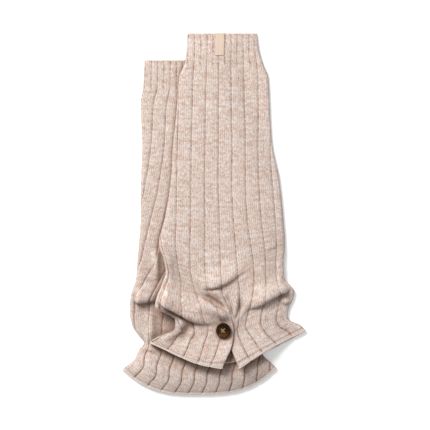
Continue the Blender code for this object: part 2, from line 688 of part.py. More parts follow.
def finish(name, mesh, colour=KNIT_COLOUR, roughness=KNIT_ROUGHNESS):
    """The mesh as an object, its faces turned outwards, with its own material."""
    bmesh.ops.recalc_face_normals(mesh, faces=mesh.faces)
    data = bpy.data.meshes.new(name)
    mesh.to_mesh(data)
    mesh.free()
    data.shade_smooth()
    data.set_sharp_from_angle(angle=np.radians(50))
    material = bpy.data.materials.new(name)
    material.use_nodes = True
    shader = material.node_tree.nodes["Principled BSDF"]
    shader.inputs["Base Color"].default_value = (*colour, 1)
    shader.inputs["Roughness"].default_value = roughness
    data.materials.append(material)
    piece = bpy.data.objects.new(name, data)
    bpy.context.scene.collection.objects.link(piece)
    return piece


def spaced(stretches):
    """Rows along a tube, evenly spaced in each stretch."""
    stops = []
    for start, end, step in stretches:
        stops += list(np.linspace(start, end, round((end - start) / step) + 1)[:-1])
    return [*stops, stretches[-1][1]]


def label_mesh(name, tube):
    """The woven tab: it lies on the cuff's ribs and turns down over the cuff's top edge."""
    row = tube.row(np.array([-UPPER_CUFF]))
    two_ribs = (row["inner_right_x"] - row["slit_x"])[0]
    half = LABEL_WIDTH / two_ribs
    ribs = np.linspace(LABEL_RIB - half, LABEL_RIB + half, LABEL_COLUMNS)
    under = FINE_RISE + SEAM_GAP
    low_rows, high_rows = [], []
    for along in np.linspace(LABEL_FRONT - UPPER_CUFF, -UPPER_CUFF, LABEL_ROWS):
        points, normals, _ = skin(tube, ribs, np.full(len(ribs), along), np.zeros(len(ribs)), True)
        low_rows.append((points + under * normals).T)
        high_rows.append((points + (under + LABEL_THICK) * normals).T)
    past, down = np.array([0, 1, 0]), np.array([0, 0, -1])
    low_rows.append(low_rows[-1] + (LABEL_STANDS - LABEL_THICK) * past)
    high_rows.append(high_rows[-1] + LABEL_STANDS * past)
    low_rows.append(low_rows[-1] + LABEL_HOOK * down)
    high_rows.append(high_rows[-1] + (LABEL_HOOK + LABEL_THICK) * down)
    mesh = bmesh.new()
    low, high = [
        [[placed(mesh, point) for point in points] for points in rows] for rows in (low_rows, high_rows)
    ]
    for rows in (low, high):
        for row, next_row in zip(rows, rows[1:]):
            stitch(mesh, in_order(row), in_order(next_row))
    for end in (0, -1):
        stitch(mesh, in_order(low[end]), in_order(high[end]))
        stitch(mesh, in_order(row[end] for row in low), in_order(row[end] for row in high))
    return finish(name, mesh, LABEL_COLOUR, LABEL_ROUGHNESS)


def button_mesh(name, tube):
    """A turned four-hole button: a rounded rim round a shallow dish, leaning on the folds."""
    mesh = bmesh.new()
    radii, heights = BUTTON_WIDTH / 2 - BUTTON_PROFILE["in_from_edge"], BUTTON_PROFILE["height"]
    rings = [circle(mesh, (0, 0), r, z, BUTTON_SIDES) for r, z in zip(radii, heights)]
    for ring, next_ring in zip(rings, rings[1:]):
        stitch(mesh, in_order(ring), in_order(next_ring))
    back, dished = [rings[0]], [rings[-1]]
    reach = BUTTON_HOLE_SPACING / 2**0.5
    for turn in BUTTON_TURN + np.pi / 2 * np.arange(4):
        middle = reach * np.cos(turn), reach * np.sin(turn)
        ends = [circle(mesh, middle, BUTTON_HOLE / 2, z, HOLE_SIDES) for z in heights[[0, -1]]]
        stitch(mesh, *[in_order(end) for end in ends])
        back.append(ends[0])
        dished.append(ends[1])
    for loops in (back, dished):
        edges = [mesh.edges.get(pair) for loop in loops for pair in zip(loop, loop[1:])]
        bmesh.ops.triangle_fill(mesh, edges=edges, use_beauty=True)
    button = finish(name, mesh, BUTTON_COLOUR, BUTTON_ROUGHNESS)
    axis = np.array([*BUTTON_LEAN, 1])
    axis /= np.linalg.norm(axis)
    button.rotation_mode = "QUATERNION"
    button.rotation_quaternion = Vector((0, 0, 1)).rotation_difference(Vector(axis))
    button.location = (button_seat(tube, axis) - MIDDLE) * MM
    return button


def circle(mesh, middle, radius, height, sides):
    """A level ring of vertices that ends with its first one."""
    turns = 2 * np.pi * np.arange(sides) / sides
    points = [(middle[0] + radius * np.cos(t), middle[1] + radius * np.sin(t), height) for t in turns]
    ring = [mesh.verts.new(np.array(point) * MM) for point in points]
    return [*ring, ring[0]]


def button_seat(tube, axis):
    """The middle of the button's back: along its axis, just clear of the knit under it."""
    ribs = np.arange(2 * BUTTON_RIB, 0, 0.05)
    alongs = np.arange(BUTTON_ALONG - BUTTON_WIDTH, BUTTON_ALONG + BUTTON_WIDTH)
    rib, along = [a.ravel() for a in np.meshgrid(ribs, alongs)]
    points, normals, rise = skin(tube, rib, along, np.full(len(rib), -1.0), False)
    knit = (points + rise * normals).T
    middle = skin(tube, *[np.array([v]) for v in (BUTTON_RIB, BUTTON_ALONG, -1.0)], False)[0][:, 0]
    away = knit - middle
    up = away @ axis
    near = np.linalg.norm(away - up[:, None] * axis, axis=1) < BUTTON_WIDTH / 2
    return middle + (up[near].max() + SEAM_GAP) * axis


def main():
    for old in list(bpy.data.objects):
        bpy.data.objects.remove(old)
    under = UnderTube(UNDER_ROWS, UNDER_FOLDS, floor)
    lower = [outer_points(under, -UNDER_CUFF, 0, True), outer_points(under, 0, UNDER_HEM, False)]
    ground = Ground(np.concatenate(lower, axis=1), DRAPE)
    upper = UpperTube(UPPER_ROWS, UPPER_FOLDS, lambda x, y: resting(ground(x, y)))
    tube_mesh("under_leg", under, UNDER_LEG_STRETCHES, WIDE_RIB, UNDER_BACK_STEPS)
    tube_mesh("under_cuff", under, UNDER_CUFF_STRETCHES, FINE_RIBS, UNDER_BACK_STEPS, cuff=True)
    tube_mesh("upper_leg", upper, UPPER_LEG_STRETCHES, WIDE_RIB, UPPER_LEG_BACK_STEPS, slit=SLIT_TOP)
    tube_mesh("upper_cuff", upper, UPPER_CUFF_STRETCHES, FINE_RIBS, UPPER_CUFF_BACK_STEPS, cuff=True)
    label_mesh("upper_label", upper)
    button_mesh("upper_button", upper)


main()
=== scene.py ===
"""The look of a pair of ribbed knit leg warmers, laid flat with one lying partly on the other.

The knit shells repeat the solids' forms, worked out in millimetres from the same tables, and add
the finer creases, the bound-off edges, the woven tab, the button and its thread.

A point of a tube is named by two coordinates: `rib`, counted round the tube in ribs, and `along`,
in millimetres down from the cuff's seam. Rib 0 is the line that the slit opens on.
"""

import json

import bmesh
import bpy
import numpy as np
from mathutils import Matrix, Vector

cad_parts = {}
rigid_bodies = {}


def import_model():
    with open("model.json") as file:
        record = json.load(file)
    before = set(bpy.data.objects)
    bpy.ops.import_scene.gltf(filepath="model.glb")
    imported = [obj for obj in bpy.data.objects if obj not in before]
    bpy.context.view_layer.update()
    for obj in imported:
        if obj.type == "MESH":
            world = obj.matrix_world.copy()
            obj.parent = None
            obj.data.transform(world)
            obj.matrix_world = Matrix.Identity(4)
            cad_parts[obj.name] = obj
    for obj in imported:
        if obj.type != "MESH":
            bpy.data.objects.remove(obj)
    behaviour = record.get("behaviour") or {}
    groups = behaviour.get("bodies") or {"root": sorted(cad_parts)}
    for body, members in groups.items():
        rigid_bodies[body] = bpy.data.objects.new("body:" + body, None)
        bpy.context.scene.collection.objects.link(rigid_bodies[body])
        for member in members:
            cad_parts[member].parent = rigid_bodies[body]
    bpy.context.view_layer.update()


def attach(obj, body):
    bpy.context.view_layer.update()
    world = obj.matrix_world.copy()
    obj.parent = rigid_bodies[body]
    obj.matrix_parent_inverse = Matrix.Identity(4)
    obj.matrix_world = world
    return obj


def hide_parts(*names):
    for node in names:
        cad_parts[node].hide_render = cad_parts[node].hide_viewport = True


MM = 0.001
MIDDLE = np.array([-1.5, -0.3, 0])  # the laid pair's middle in the tables, which is the origin here

# Knit
WALL = 1.8  # thickness of the knit in a groove between two ribs
LAYER_GAP = 1.0  # air between the front and back of a flattened tube
FLAT = 2 * WALL + LAYER_GAP  # height of a flattened tube, without its ribs
RIB_RISE = 1.05  # how far a wide rib stands out of its grooves
FINE_RISE = 0.55  # the same on the cuffs
RIB_FULLNESS, FINE_FULLNESS = 6, 4  # how square a rib's cut is; 2 makes it a parabola
RIBS_WIDEN_OVER = 5  # how far below the seam the cuff's fine ribs have become wide ones
RIBS_AROUND = 17  # wide ribs round each tube
WALES = 7  # columns of stitches in a wide rib, its groove included
COURSE = 1.75  # height of a row of stitches
REST_GAP = 0.5  # from the lower leg warmer's ribs to the one that lies on it
REST_GAP_FROM = 2.0  # how high the lower one has to be for all of that gap
UPPER_TACK, UNDER_TACK = 5.2, 8.0  # from each hem's edge up to the row of stitches that holds it

# Where the pair lies
UPPER_CUFF = 37.0  # cuff heights, top edge to seam
UNDER_CUFF = 33.0
UPPER_HEM = 388.0  # where each hem is, along the tube
UNDER_HEM = 389.0
SLIT_TOP = 329.0
SLIT_FREES = 40.0  # how far below the slit's top each flap's hem runs straight on to its own corner
LIFT_REACH = 1.5  # how many ribs of the left flap are lifted to lie over the right one
DRAPE = 14.0  # how softly the upper one drapes off the lower one's edges
KICK, KICKS_FROM = 8.5, 342.0  # how far the upper one's hem stands off what is under it, at the slit
KICK_REACH = 3.0  # how many ribs in from a side turn it does
RIGHT_KICK = 0.3  # the right flap's share of that
KICK_FALLS_FROM, KICK_FALLS_OVER = -0.5, 3.0  # from which rib it falls to that share, over how many
SWELL, SWELLS_FROM, SWELL_ENDS = 7.0, 312.0, 352.0  # how far the lower one swells above its hem
SWELL_REACH = 1.2  # how many ribs in from a side turn it does
SIDE_REACH = 1.3  # how many ribs in from a side its own height is felt
WIDEST_TURN = 3.2  # a side turn is half round until it is twice this high, and steeper above
GATHER = (22.5, -140.0)  # the slit's top, towards which the cloth is drawn
GATHER_PULL, GATHER_REACH = 0.42, 17.0
BACK_HEM_SAG = 32.0  # the upper leg warmer's back hem hangs this far below its corners
BACK_SAGS_FROM = 284.0
BACK_SAG_FULLNESS = 1.6
UNDER_SAG_FULLNESS = 3
UNDER_SIDE_SLOPE = 0.6  # how much of their slope at the ends is kept where rows turn
UNDER_BACK_SAG = 0.97

# A fold's cut: its height is shared by two arcs, the lip and the foot where it comes down
LIP_SHARE = 0.72
FOOT_SHARE = 1 - LIP_SHARE
FRONT_TAKEN = 0.55  # how much flat cloth a fold's front takes up, for each mm of it
FADE = 0.35  # how many ribs in from a side turn the folds reach their height

# Small pieces
LABEL_WIDTH, LABEL_FRONT, LABEL_THICK = 11.0, 28.5, 0.5
LABEL_RIB = 0.02  # where the tab's middle is round the cuff
LABEL_STANDS, LABEL_HOOK = 1.3, 2.4  # how far it stands past the cuff's edge, and hangs down there
LABEL_CLEAR, LABEL_FOLLOWS = 0.08, 0.35  # its gap to the ribs, and its share of their rise and fall
LABEL_COLUMNS, LABEL_ROWS, LABEL_TURN_ROWS = 25, 49, 9
BUTTON_WIDTH = 20.0
# The button's cut, from its back round the rim to its dish: how far in from the rim, and how high
BUTTON_CUT = (
    *((2.0, 0), (1.2, 0.15), (0.5, 0.6), (0.1, 1.3), (0, 2.0), (0.1, 2.8), (0.5, 3.5)),
    *((1.1, 4.05), (1.7, 4.2), (2.3, 4.05), (3.0, 3.6), (3.6, 3.1), (4.4, 2.9)),
)
BUTTON_DISH = BUTTON_CUT[-1][1]
BUTTON_HOLE, BUTTON_HOLE_SPACING = 2.0, 4.6
BUTTON_TURN, BUTTON_LEAN = 0.9, (-0.42, 0.0)
BUTTON_RIB, BUTTON_ALONG = -0.83, 340.3  # where its middle is sewn on
BUTTON_SIDES, HOLE_SIDES = 64, 20
BUTTON_SHARP_ANGLE = 40  # the holes' rims are steeper than this and stay sharp
THREAD_RADIUS, THREAD_SPACING = 0.34, 0.5
THREAD_CLEAR, THREAD_ARCH, THREAD_CROSSES = 0.2, 0.55, 0.45  # gap to the dish, arch, step over itself
THREAD_SINKS, THREAD_PAST = 1.2, 0.04  # how deep its ends go down, and how far past the holes' middles
THREAD_POINTS = 15
SEAM_GAP = 0.3
HEM_RIM, CUFF_RIM = 1.15, 0.7  # the bound-off rims' radii
RIM_SWELLS = 0.22  # how much a rim swells over each column of stitches
RIM_ON_RIB, RIM_IN_WALL = 0.6, 0.4  # its middle's height: shares of the rib's rise and of the wall
RIM_SCALLOP = 0.7  # how far a rim bows out over each rib, for each mm that the rib rises
STRAND_SIDES = 8

# The view: straight down, with the photograph's frame this wide
FRAME_WIDTH = 550.4
VIEW_MIDDLE = (1.5, -2.3)
CAMERA_HEIGHT = 4000.0
SENSOR = 36
KEY_PLACE, KEY_WIDTH, KEY_POWER = (-1.22, 1.55, 1.9), 1.35, 104  # metres and watts
SURROUND = 0.55  # strength of the even white light from all round
FLOOR_WIDTH, FLOOR_DEPTH = 6, 0.0002  # metres
FLOOR_WHITE, FLOOR_GLOW = (0.72, 0.73, 0.73, 1), 0.28


def table(names, rows):
    """The named columns of a table that has one row for each section or fold."""
    return dict(zip(names.split(), np.array(rows, float).T))


# The upper leg warmer's rows, from the cuff's edge to the hem. Each gives where the row crosses the
# left silhouette, rib -2, the slit line, rib +2 and the right silhouette; which rib is on each
# silhouette; and the tube's height at each side.
UPPER_ROWS = table(
    "along left_x left_y inner_left_x inner_left_y slit_x slit_y inner_right_x inner_right_y"
    " right_x right_y rib_left rib_right left_high right_high",
    [
        (-37, -35.5, 229, -26, 229, 6, 229, 36, 229, 53.5, 229, -2.7, 3.2, 4.6, 4.6),
        (-17, -36.5, 210, -26, 210, 5.5, 210, 36, 210, 56, 210, -2.7, 3.4, 4.6, 4.6),
        (0, -38.5, 192, -26.5, 192, 5, 192, 36.5, 192, 61, 192, -2.8, 3.55, 4.6, 4.6),
        (19, -46, 173, -28, 172, 5, 172, 37, 172, 68, 173, -3.05, 3.8, 4.6, 4.6),
        (61, -49, 131, -29, 130, 4.5, 129, 38, 130, 70, 131, -3.2, 3.9, 4.6, 4.6),
        (105, -53.5, 88, -30, 87, 4.5, 86, 39, 87, 73, 88, -3.4, 4.2, 4.6, 4.6),
        (148, -56.5, 44, -30.5, 43, 4, 42, 39, 43, 82, 44, -3.5, 4.6, 4.6, 4.6),
        (196, -63.5, -3, -31, -5, 5.5, -6, 41, -5, 87, -3, -3.85, 4.65, 4.6, 4.8),
        (236, -71.5, -39, -32, -44, 6.5, -45, 45.5, -39, 89, -33, -4.25, 4.7, 5.5, 5),
        (262, -65.5, -59, -31.5, -71, 7.5, -74, 48, -56, 89, -48, -4.4, 4.75, 8.5, 5.5),
        (284, -63, -76, -27.5, -93, 8.5, -97, 49.5, -69, 87.5, -64, -4.5, 4.8, 9, 7),
        (297, -68.5, -93, -23, -106, 11.5, -108, 50, -88, 88.5, -83, -4.5, 4.9, 9, 8),
        (311, -74.5, -108, -18, -121, 18, -122, 46.5, -109.5, 97.5, -94, -4.5, 5, 9.5, 8),
        (325, -76.5, -120, -13.5, -137, 22, -137.5, 44, -123.5, 101.5, -100.5, -4.5, 5.1, 10, 7),
        (333, -51, -136, -9, -146.5, 23, -143, 42.5, -135, 100.5, -108, -4.6, 5, 12, 5),
        (342, -51.5, -147.5, -10, -155.5, 24.5, -151.5, 41, -146, 95, -120, -5, 4.9, 11.5, 4.6),
        (353, -66, -154.5, -13.5, -165.5, 23.5, -162, 44, -153.5, 92.5, -131, -5.2, 4.9, 8, 4.6),
        (364, -76, -159.5, -16.5, -176, 20.5, -173.5, 50.5, -164, 96.5, -138, -5.3, 4.9, 6.5, 4.6),
        (377, -80.5, -162.5, -19.5, -185, 15.5, -184.5, 55, -171, 108.5, -143, -5.2, 4.9, 5, 4.6),
        (388, -82.5, -165, -22, -191, 9.5, -197, 60.5, -177.5, 115, -149.5, -5.1, 4.9, 4.6, 4.6),
    ],
)
# The slit: how far the left flap lies over the right one (less than 0 where they part), and how far
# the left flap is lifted to lie over it.
SLIT_ROWS = table(
    "along lap lift",
    [
        (300, 0, 0),
        (329, 0, 0),
        (334, -0.8, 2.2),
        (340, 2, 3.6),
        (345, 6, 3.8),
        (353, 6, 3.8),
        (362, 2, 3.6),
        (367, -2, 2.4),
        (377, -9.5, 1),
        (388, -20.5, 0.3),
    ],
)
# The lower leg warmer's rows. Between its two silhouettes a row hangs down by `sag`.
UNDER_ROWS = table(
    "along left_x left_y right_x right_y sag rib_left rib_right left_high right_high",
    [
        (-33, -90.5, 194.5, -3, 194.5, 0, -3.2, 2.5, 4.6, 4.6),
        (0, -92, 162, 2, 162, 0, -3.2, 2.7, 4.6, 4.6),
        (22, -95, 139, 9, 139, 1, -3.05, 3.3, 4.6, 4.6),
        (75, -93, 86, 27.5, 86, 1, -2.75, 4.6, 4.6, 4.6),
        (135, -95, 26, 44, 26, 1, -2.3, 5.9, 4.6, 4.6),
        (168, -95, -7, 54.5, -7, 1, -1.8, 6.8, 4.6, 4.6),
        (199, -97, -38, 59, -38, 2.5, -1.5, 7.4, 5, 4.6),
        (221, -99, -59.5, 60, -59.5, 4, -1.35, 7.8, 6, 4.6),
        (247, -101, -85, 60, -85, 4, -0.8, 8.3, 8, 4.6),
        (267, -107, -104.5, 59.5, -108, 5, -0.65, 8.6, 13, 4.6),
        (280, -108.5, -116, 59, -122, 6, -0.55, 8.8, 9, 4.6),
        (294, -108.5, -129, 58, -139, 7, -0.4, 9, 6, 4.6),
        (309, -106, -143, 58, -154, 10, -0.3, 9.3, 6, 4.6),
        (322, -98.5, -155.5, 58, -168, 14, 0, 9.7, 6, 4.6),
        (335, -90.5, -165.5, 60, -178.5, 18, 0.5, 10.2, 6, 4.6),
        (348, -97.5, -176, 64, -185, 23, 0.4, 10.7, 5, 4.6),
        (362, -103, -188, 70.5, -190.5, 27, 0.2, 11.1, 4.6, 4.6),
        (377, -113.5, -196, 75.5, -195.5, 30, 0.1, 11.4, 4.6, 4.6),
        (389, -118, -200, 78, -198, 31, 0.1, 11.5, 4.6, 4.6),
    ],
)
# Folds. Each lip runs from its start to its end, with the garment's lower side on the right of that
# direction. It is bowed towards that side by `bow`, and sways to it by `sway` in its first half and
# away from it in its second. The cloth rises to `high` over `rise`, then turns under the lip through
# `turn` degrees. `ease_in` and `ease_out` are the shares of the length over which the fold comes and
# goes.
FOLD_COLUMNS = "start_x start_y end_x end_y bow sway high rise turn ease_in ease_out"
UPPER_FOLDS = table(
    FOLD_COLUMNS,
    [
        # the roll over the left flap
        (-84, -114, 14, -139, 9, -5, 13.5, 28, 126, 0.1, 0.6),
        # the bulge over the right flap
        (34, -128, 110, -97, -2, 2, 9.5, 20, 132, 0.4, 0.15),
        # the slanting crease above the slit
        (-20, -98, 54, -66, 6, 2, 7, 24, 105, 0.25, 0.8),
        # the roll's right end, falling into the gathers
        (21, -128, -22, -104, -2, 0, 7.5, 11, 110, 0.25, 0.3),
        # two small creases near the right side
        (62, -49, 82, -43, 0, 0, 1.5, 9, 80, 0.4, 0.4),
        (82, -114, 104, -115, 2, 0, 4.5, 7, 105, 0.35, 0.2),
    ],
)
UNDER_FOLDS = table(
    FOLD_COLUMNS,
    [
        # the bulge at the left, and its hidden run under the other leg warmer
        (-118, -116, -60, -119, -3, 1, 11, 20, 130, 0.02, 0.6),
        # the pinch over the flare
        (-104, -171, -60, -181, 1, 0, 4, 12, 100, 0.2, 0.6),
    ],
)
# Soft ridges (high above 0) and troughs, each along a line, fading over `width` to its sides
CREASE_COLUMNS = "start_x start_y end_x end_y high width"
UPPER_CREASES = table(
    CREASE_COLUMNS,
    [
        (-62, -50, -60, -88, 2.5, 6),
        (12, -88, 30, -80, 1.0, 6),
        # the gathers, from the crease above the slit down to the slit's top
        (-17, -103, 18, -122, -4.5, 3),
        (-6, -95, 16, -110, 3.5, 4),
        (6, -108, 24, -136, 2.5, 3.5),
        (16, -100, 25, -136, -2.5, 2.5),
        (27, -98, 25, -136, 2.5, 3),
        (36, -102, 27, -138, -2.5, 3),
        (46, -104, 30, -140, 2, 3.5),
        # waves in the left flap and the right one
        (-36, -132, -68, -167, 5.5, 5.5),
        (-26, -130, -44, -166, -4, 4),
        (-28, -142, -38, -178, 2, 5),
        (-8, -150, -16, -186, 1.5, 5),
        (52, -130, 66, -168, 1.5, 5),
        (76, -118, 92, -152, 2, 5),
    ],
)
UNDER_CREASES = table(
    CREASE_COLUMNS,
    [
        (-98, -60, -104, -96, 1.0, 6),
        # the ridges left of the two hollows beside the upper leg warmer
        (-75.5, -44, -75, -88, 5, 3.5),
        (-82, -122, -82, -168, 4.5, 5.5),
    ],
)


# --- Curves through the tables


def gentle_slopes(knots, values):
    """Slopes at the knots for a cubic that never overshoots the values."""
    step = np.diff(knots)
    rise = np.diff(values) / step
    slope = np.zeros(len(values))
    slope[0], slope[-1] = rise[0], rise[-1]
    before, after = rise[:-1], rise[1:]
    same = before * after > 0
    weight_before, weight_after = 2 * step[1:] + step[:-1], step[1:] + 2 * step[:-1]
    total = weight_before + weight_after
    safe = np.where(same, before, 1), np.where(same, after, 1)
    slope[1:-1] = np.where(same, total / (weight_before / safe[0] + weight_after / safe[1]), 0)
    return slope


def through_slopes(knots, values):
    """Slopes at the knots, each row's own, for a cubic that flows through them."""
    step = np.diff(knots, axis=1)
    rise = np.diff(values, axis=1) / step
    slope = np.empty_like(values)
    slope[:, 0], slope[:, -1] = rise[:, 0], rise[:, -1]
    shares = step[:, 1:] / (step[:, 1:] + step[:, :-1])
    slope[:, 1:-1] = rise[:, :-1] * shares + rise[:, 1:] * (1 - shares)
    return slope


def cubic(knots, values, slopes, where):
    """The cubic's value at `where`; each argument has one row for each point."""
    i = np.clip((where[:, None] >= knots[:, 1:-1]).sum(axis=1), 0, knots.shape[1] - 2)
    rows = np.arange(len(where))
    x0, x1 = knots[rows, i], knots[rows, i + 1]
    y0, y1 = values[rows, i], values[rows, i + 1]
    s0, s1 = slopes[rows, i], slopes[rows, i + 1]
    width = x1 - x0
    t = np.clip((where - x0) / width, 0, 1)
    past = where - x0 - t * width
    return (
        y0 * (1 + 2 * t) * (1 - t) ** 2
        + y1 * t * t * (3 - 2 * t)
        + width * t * (1 - t) * (s0 * (1 - t) - s1 * t)
        + past * np.where(past < 0, s0, s1)
    )


def column(rows, name, along):
    """A table's column, read at `along`."""
    knots, values = rows["along"], rows[name]
    size = (len(along), len(knots))
    spread = [np.broadcast_to(a, size) for a in (knots, values, gentle_slopes(knots, values))]
    return cubic(*spread, along)


def ease(t):
    """0 up to t = 0, 1 from t = 1, and a smooth step between."""
    t = np.clip(t, 0, 1)
    return t * t * (3 - 2 * t)


def hump(share, fullness):
    """0 at the ends of 0 to 1 and 1 in the middle: a parabola, or squarer above a fullness of 2."""
    return 1 - np.abs(2 * share - 1) ** fullness


def unit(x, y):
    length = np.hypot(x, y)
    return x / length, y / length


def each(rows):
    """A table's rows, each as a dict."""
    for values in zip(*rows.values()):
        yield dict(zip(rows, values))


# --- Folds and creases


def fold_section(beyond, high, rise, turn):
    """A fold's cut: how far the cloth moves downhill and up, `beyond` mm past the lip line."""
    turn = np.radians(turn)
    both = high / (1 - np.cos(turn))
    lip, foot = LIP_SHARE * both, FOOT_SHARE * both  # the two arcs' radii
    front = both * turn
    cover = FRONT_TAKEN * front
    crest = cover - both * np.sin(turn)
    start = beyond + crest + lip
    rising = ease(1 + start / rise)
    run = np.clip(start / cover, 0, 1) * front
    on_lip = np.minimum(run / lip, turn)
    on_foot = turn - np.maximum(run - lip * turn, 0) / foot
    moved = crest + lip * np.sin(on_lip) + foot * (np.sin(turn) - np.sin(on_foot))
    height = high - lip * (1 - np.cos(on_lip)) - foot * (np.cos(on_foot) - np.cos(turn))
    moved = np.where(start < 0, start + crest * rising, np.where(start > cover, start, moved))
    height = np.where(start < 0, high * rising, np.where(start > cover, 0, height))
    return moved - start, height


def beside(line, x, y):
    """A point by a fold's or crease's line: its share of the way, how far it is to the line's right,
    and the way to the right."""
    span_x, span_y = line["end_x"] - line["start_x"], line["end_y"] - line["start_y"]
    tx, ty = unit(span_x, span_y)
    from_x, from_y = x - line["start_x"], y - line["start_y"]
    return (from_x * tx + from_y * ty) / np.hypot(span_x, span_y), from_x * ty - from_y * tx, (ty, -tx)


def folded(folds, x, y):
    """What all the folds add to a point of the flat cloth: dx, dy, dz."""
    moves = np.zeros((3, len(x)))
    for fold in each(folds):
        share, beyond, (out_x, out_y) = beside(fold, x, y)
        share = np.clip(share, 0, 1)
        beyond = beyond - fold["bow"] * hump(share, 2) - fold["sway"] * np.sin(2 * np.pi * share)
        strength = ease(share / fold["ease_in"]) * ease((1 - share) / fold["ease_out"])
        moved, height = fold_section(beyond, fold["high"], fold["rise"], fold["turn"])
        moves += strength * np.array([moved * out_x, moved * out_y, height])
    return moves


def creased(creases, x, y):
    """The height that soft ridges and troughs add."""
    height = np.zeros(len(x))
    for crease in each(creases):
        share, aside, _ = beside(crease, x, y)
        height += crease["high"] * ease(hump(share, 2)) * np.exp(-((aside / crease["width"]) ** 2))
    return height


# --- The tubes

FRONT, SIDE, BACK = 0, 1, 2  # the parts of a flattened tube's ring
STEP_RIB, STEP_ALONG = 0.02, 0.15  # how far apart the points that give a normal are


class Tube:
    """One leg warmer's form. Each kind gives its rows in plan: `inward`, `front_plan` and `back`."""

    def __init__(self, rows, folds, creases, support):
        self.rows, self.folds, self.creases, self.support = rows, folds, creases, support

    def row(self, along):
        """Where a row lies, which way it faces at its ends, and how many ribs each side turn takes."""
        row = {name: column(self.rows, name, along) for name in self.rows if name != "along"}
        row["along"] = along
        for side in ("left", "right"):
            toward_x, toward_y = self.inward(row, side)
            radius = row[side + "_radius"] = np.minimum(row[side + "_high"] / 2, WIDEST_TURN)
            row[side + "_out"] = -toward_x, -toward_y
            row[side + "_in_x"] = row[side + "_x"] + radius * toward_x
            row[side + "_in_y"] = row[side + "_y"] + radius * toward_y
        wide = np.hypot(row["right_in_x"] - row["left_in_x"], row["right_in_y"] - row["left_in_y"])
        quarter = np.pi / 4 * np.array([row["left_high"], row["right_high"]])
        front_ribs = row["rib_right"] - row["rib_left"]
        row["front_turn"] = quarter * front_ribs / (wide + quarter.sum(axis=0))
        row["back_turn"] = quarter * (RIBS_AROUND - front_ribs) / (wide + quarter.sum(axis=0))
        row["front_start"] = row["rib_left"] + row["front_turn"][0]
        row["front_end"] = row["rib_right"] - row["front_turn"][1]
        return row

    def base(self, rib, along, side):
        """The outer surface in the grooves, which part each point is on, and the side turns' normals.

        `side` is -1 or +1 for the slit's two edges.
        """
        row = self.row(along)
        left, right = row["rib_left"], row["rib_right"]
        low = left - row["back_turn"][0]
        rib = low + np.mod(rib - low, RIBS_AROUND)
        back_start, back_end = right + row["back_turn"][1], low + RIBS_AROUND
        back = rib >= back_start
        x, y, z = self.front(row, np.clip(rib, row["front_start"], row["front_end"]), side)
        around = np.zeros((3, len(rib)))
        turning = np.zeros(len(rib), bool)
        for number, name, past, where in (
            (0, "left", rib - left, rib < row["front_start"]),
            (1, "right", right - rib, (rib > row["front_end"]) & ~back),
        ):
            turn = np.where(past > 0, past / row["front_turn"][number], past / row["back_turn"][number])
            turn = np.clip(turn, -1, 1) * np.pi / 2
            out_x, out_y = row[name + "_out"]
            start_x, start_y = row[name + "_in_x"], row[name + "_in_y"]
            floor = self.support(start_x, start_y)
            reach = row[name + "_radius"] * np.cos(turn)
            share = (1 + np.sin(turn)) / 2
            x = np.where(where, start_x + reach * out_x + (x - start_x) * share, x)
            y = np.where(where, start_y + reach * out_y + (y - start_y) * share, y)
            z = np.where(where, floor + (z - floor) * share, z)
            facing = [out_x * np.cos(turn), out_y * np.cos(turn), np.sin(turn)]
            around = np.where(where, facing, around)
            turning |= where
        back_x, back_y = self.back(row, np.clip((back_end - rib) / (back_end - back_start), 0, 1))
        x, y = np.where(back, back_x, x), np.where(back, back_y, y)
        z = np.where(back, self.support(x, y), z)
        return np.array([x, y, z]), np.where(back, BACK, np.where(turning, SIDE, FRONT)), around

    def front(self, row, rib, side):
        """The front's outer surface in the grooves."""
        x, y = self.front_plan(row, rib, side)
        moves = folded(self.folds, x, y)
        moves[2] += creased(self.creases, x, y)
        moves *= ease(np.minimum(rib - row["front_start"], row["front_end"] - rib) / FADE)
        x, y = self.gathered(x + moves[0], y + moves[1])
        z = self.support(x, y) + self.height(row, rib, side) + moves[2]
        return x, y, z

    def height(self, row, rib, side):
        """The tube's height: each side's own near that side, and flat between."""
        from_left = 1 - ease((rib - row["rib_left"]) / SIDE_REACH)
        from_right = 1 - ease((row["rib_right"] - rib) / SIDE_REACH)
        left, right = row["left_high"] - FLAT, row["right_high"] - FLAT
        return FLAT + left * from_left + right * from_right

    def gathered(self, x, y):
        return x, y

    @staticmethod
    def from_side(row, rib):
        """How many ribs in from the nearer side turn."""
        return np.minimum(rib - row["rib_left"], row["rib_right"] - rib)

    @staticmethod
    def sagging(row, share, sag, fullness):
        """A row in plan from its left side to its right one, hanging down by `sag` between them."""
        x = row["left_in_x"] + (row["right_in_x"] - row["left_in_x"]) * share
        y = row["left_in_y"] + (row["right_in_y"] - row["left_in_y"]) * share
        return x, y - sag * hump(share, fullness)


class UnderTube(Tube):
    def inward(self, row, side):
        turn = 1 if side == "left" else -1
        slope = 4 * UNDER_SIDE_SLOPE * row["sag"]
        across_x = row["right_x"] - row["left_x"]
        across_y = row["right_y"] - row["left_y"]
        return unit(turn * across_x, turn * across_y - slope)

    def front_plan(self, row, rib, side):
        share = (rib - row["front_start"]) / (row["front_end"] - row["front_start"])
        return self.sagging(row, share, row["sag"], UNDER_SAG_FULLNESS)

    def height(self, row, rib, side):
        grown = ease((row["along"] - SWELLS_FROM) / (SWELL_ENDS - SWELLS_FROM))
        gone = ease((row["along"] - SWELL_ENDS) / (UNDER_HEM - SWELL_ENDS))
        swell = SWELL * grown * (1 - gone) * ease(self.from_side(row, rib) / SWELL_REACH)
        return super().height(row, rib, side) + swell

    def back(self, row, share):
        return self.sagging(row, share, row["sag"] * UNDER_BACK_SAG, UNDER_SAG_FULLNESS)


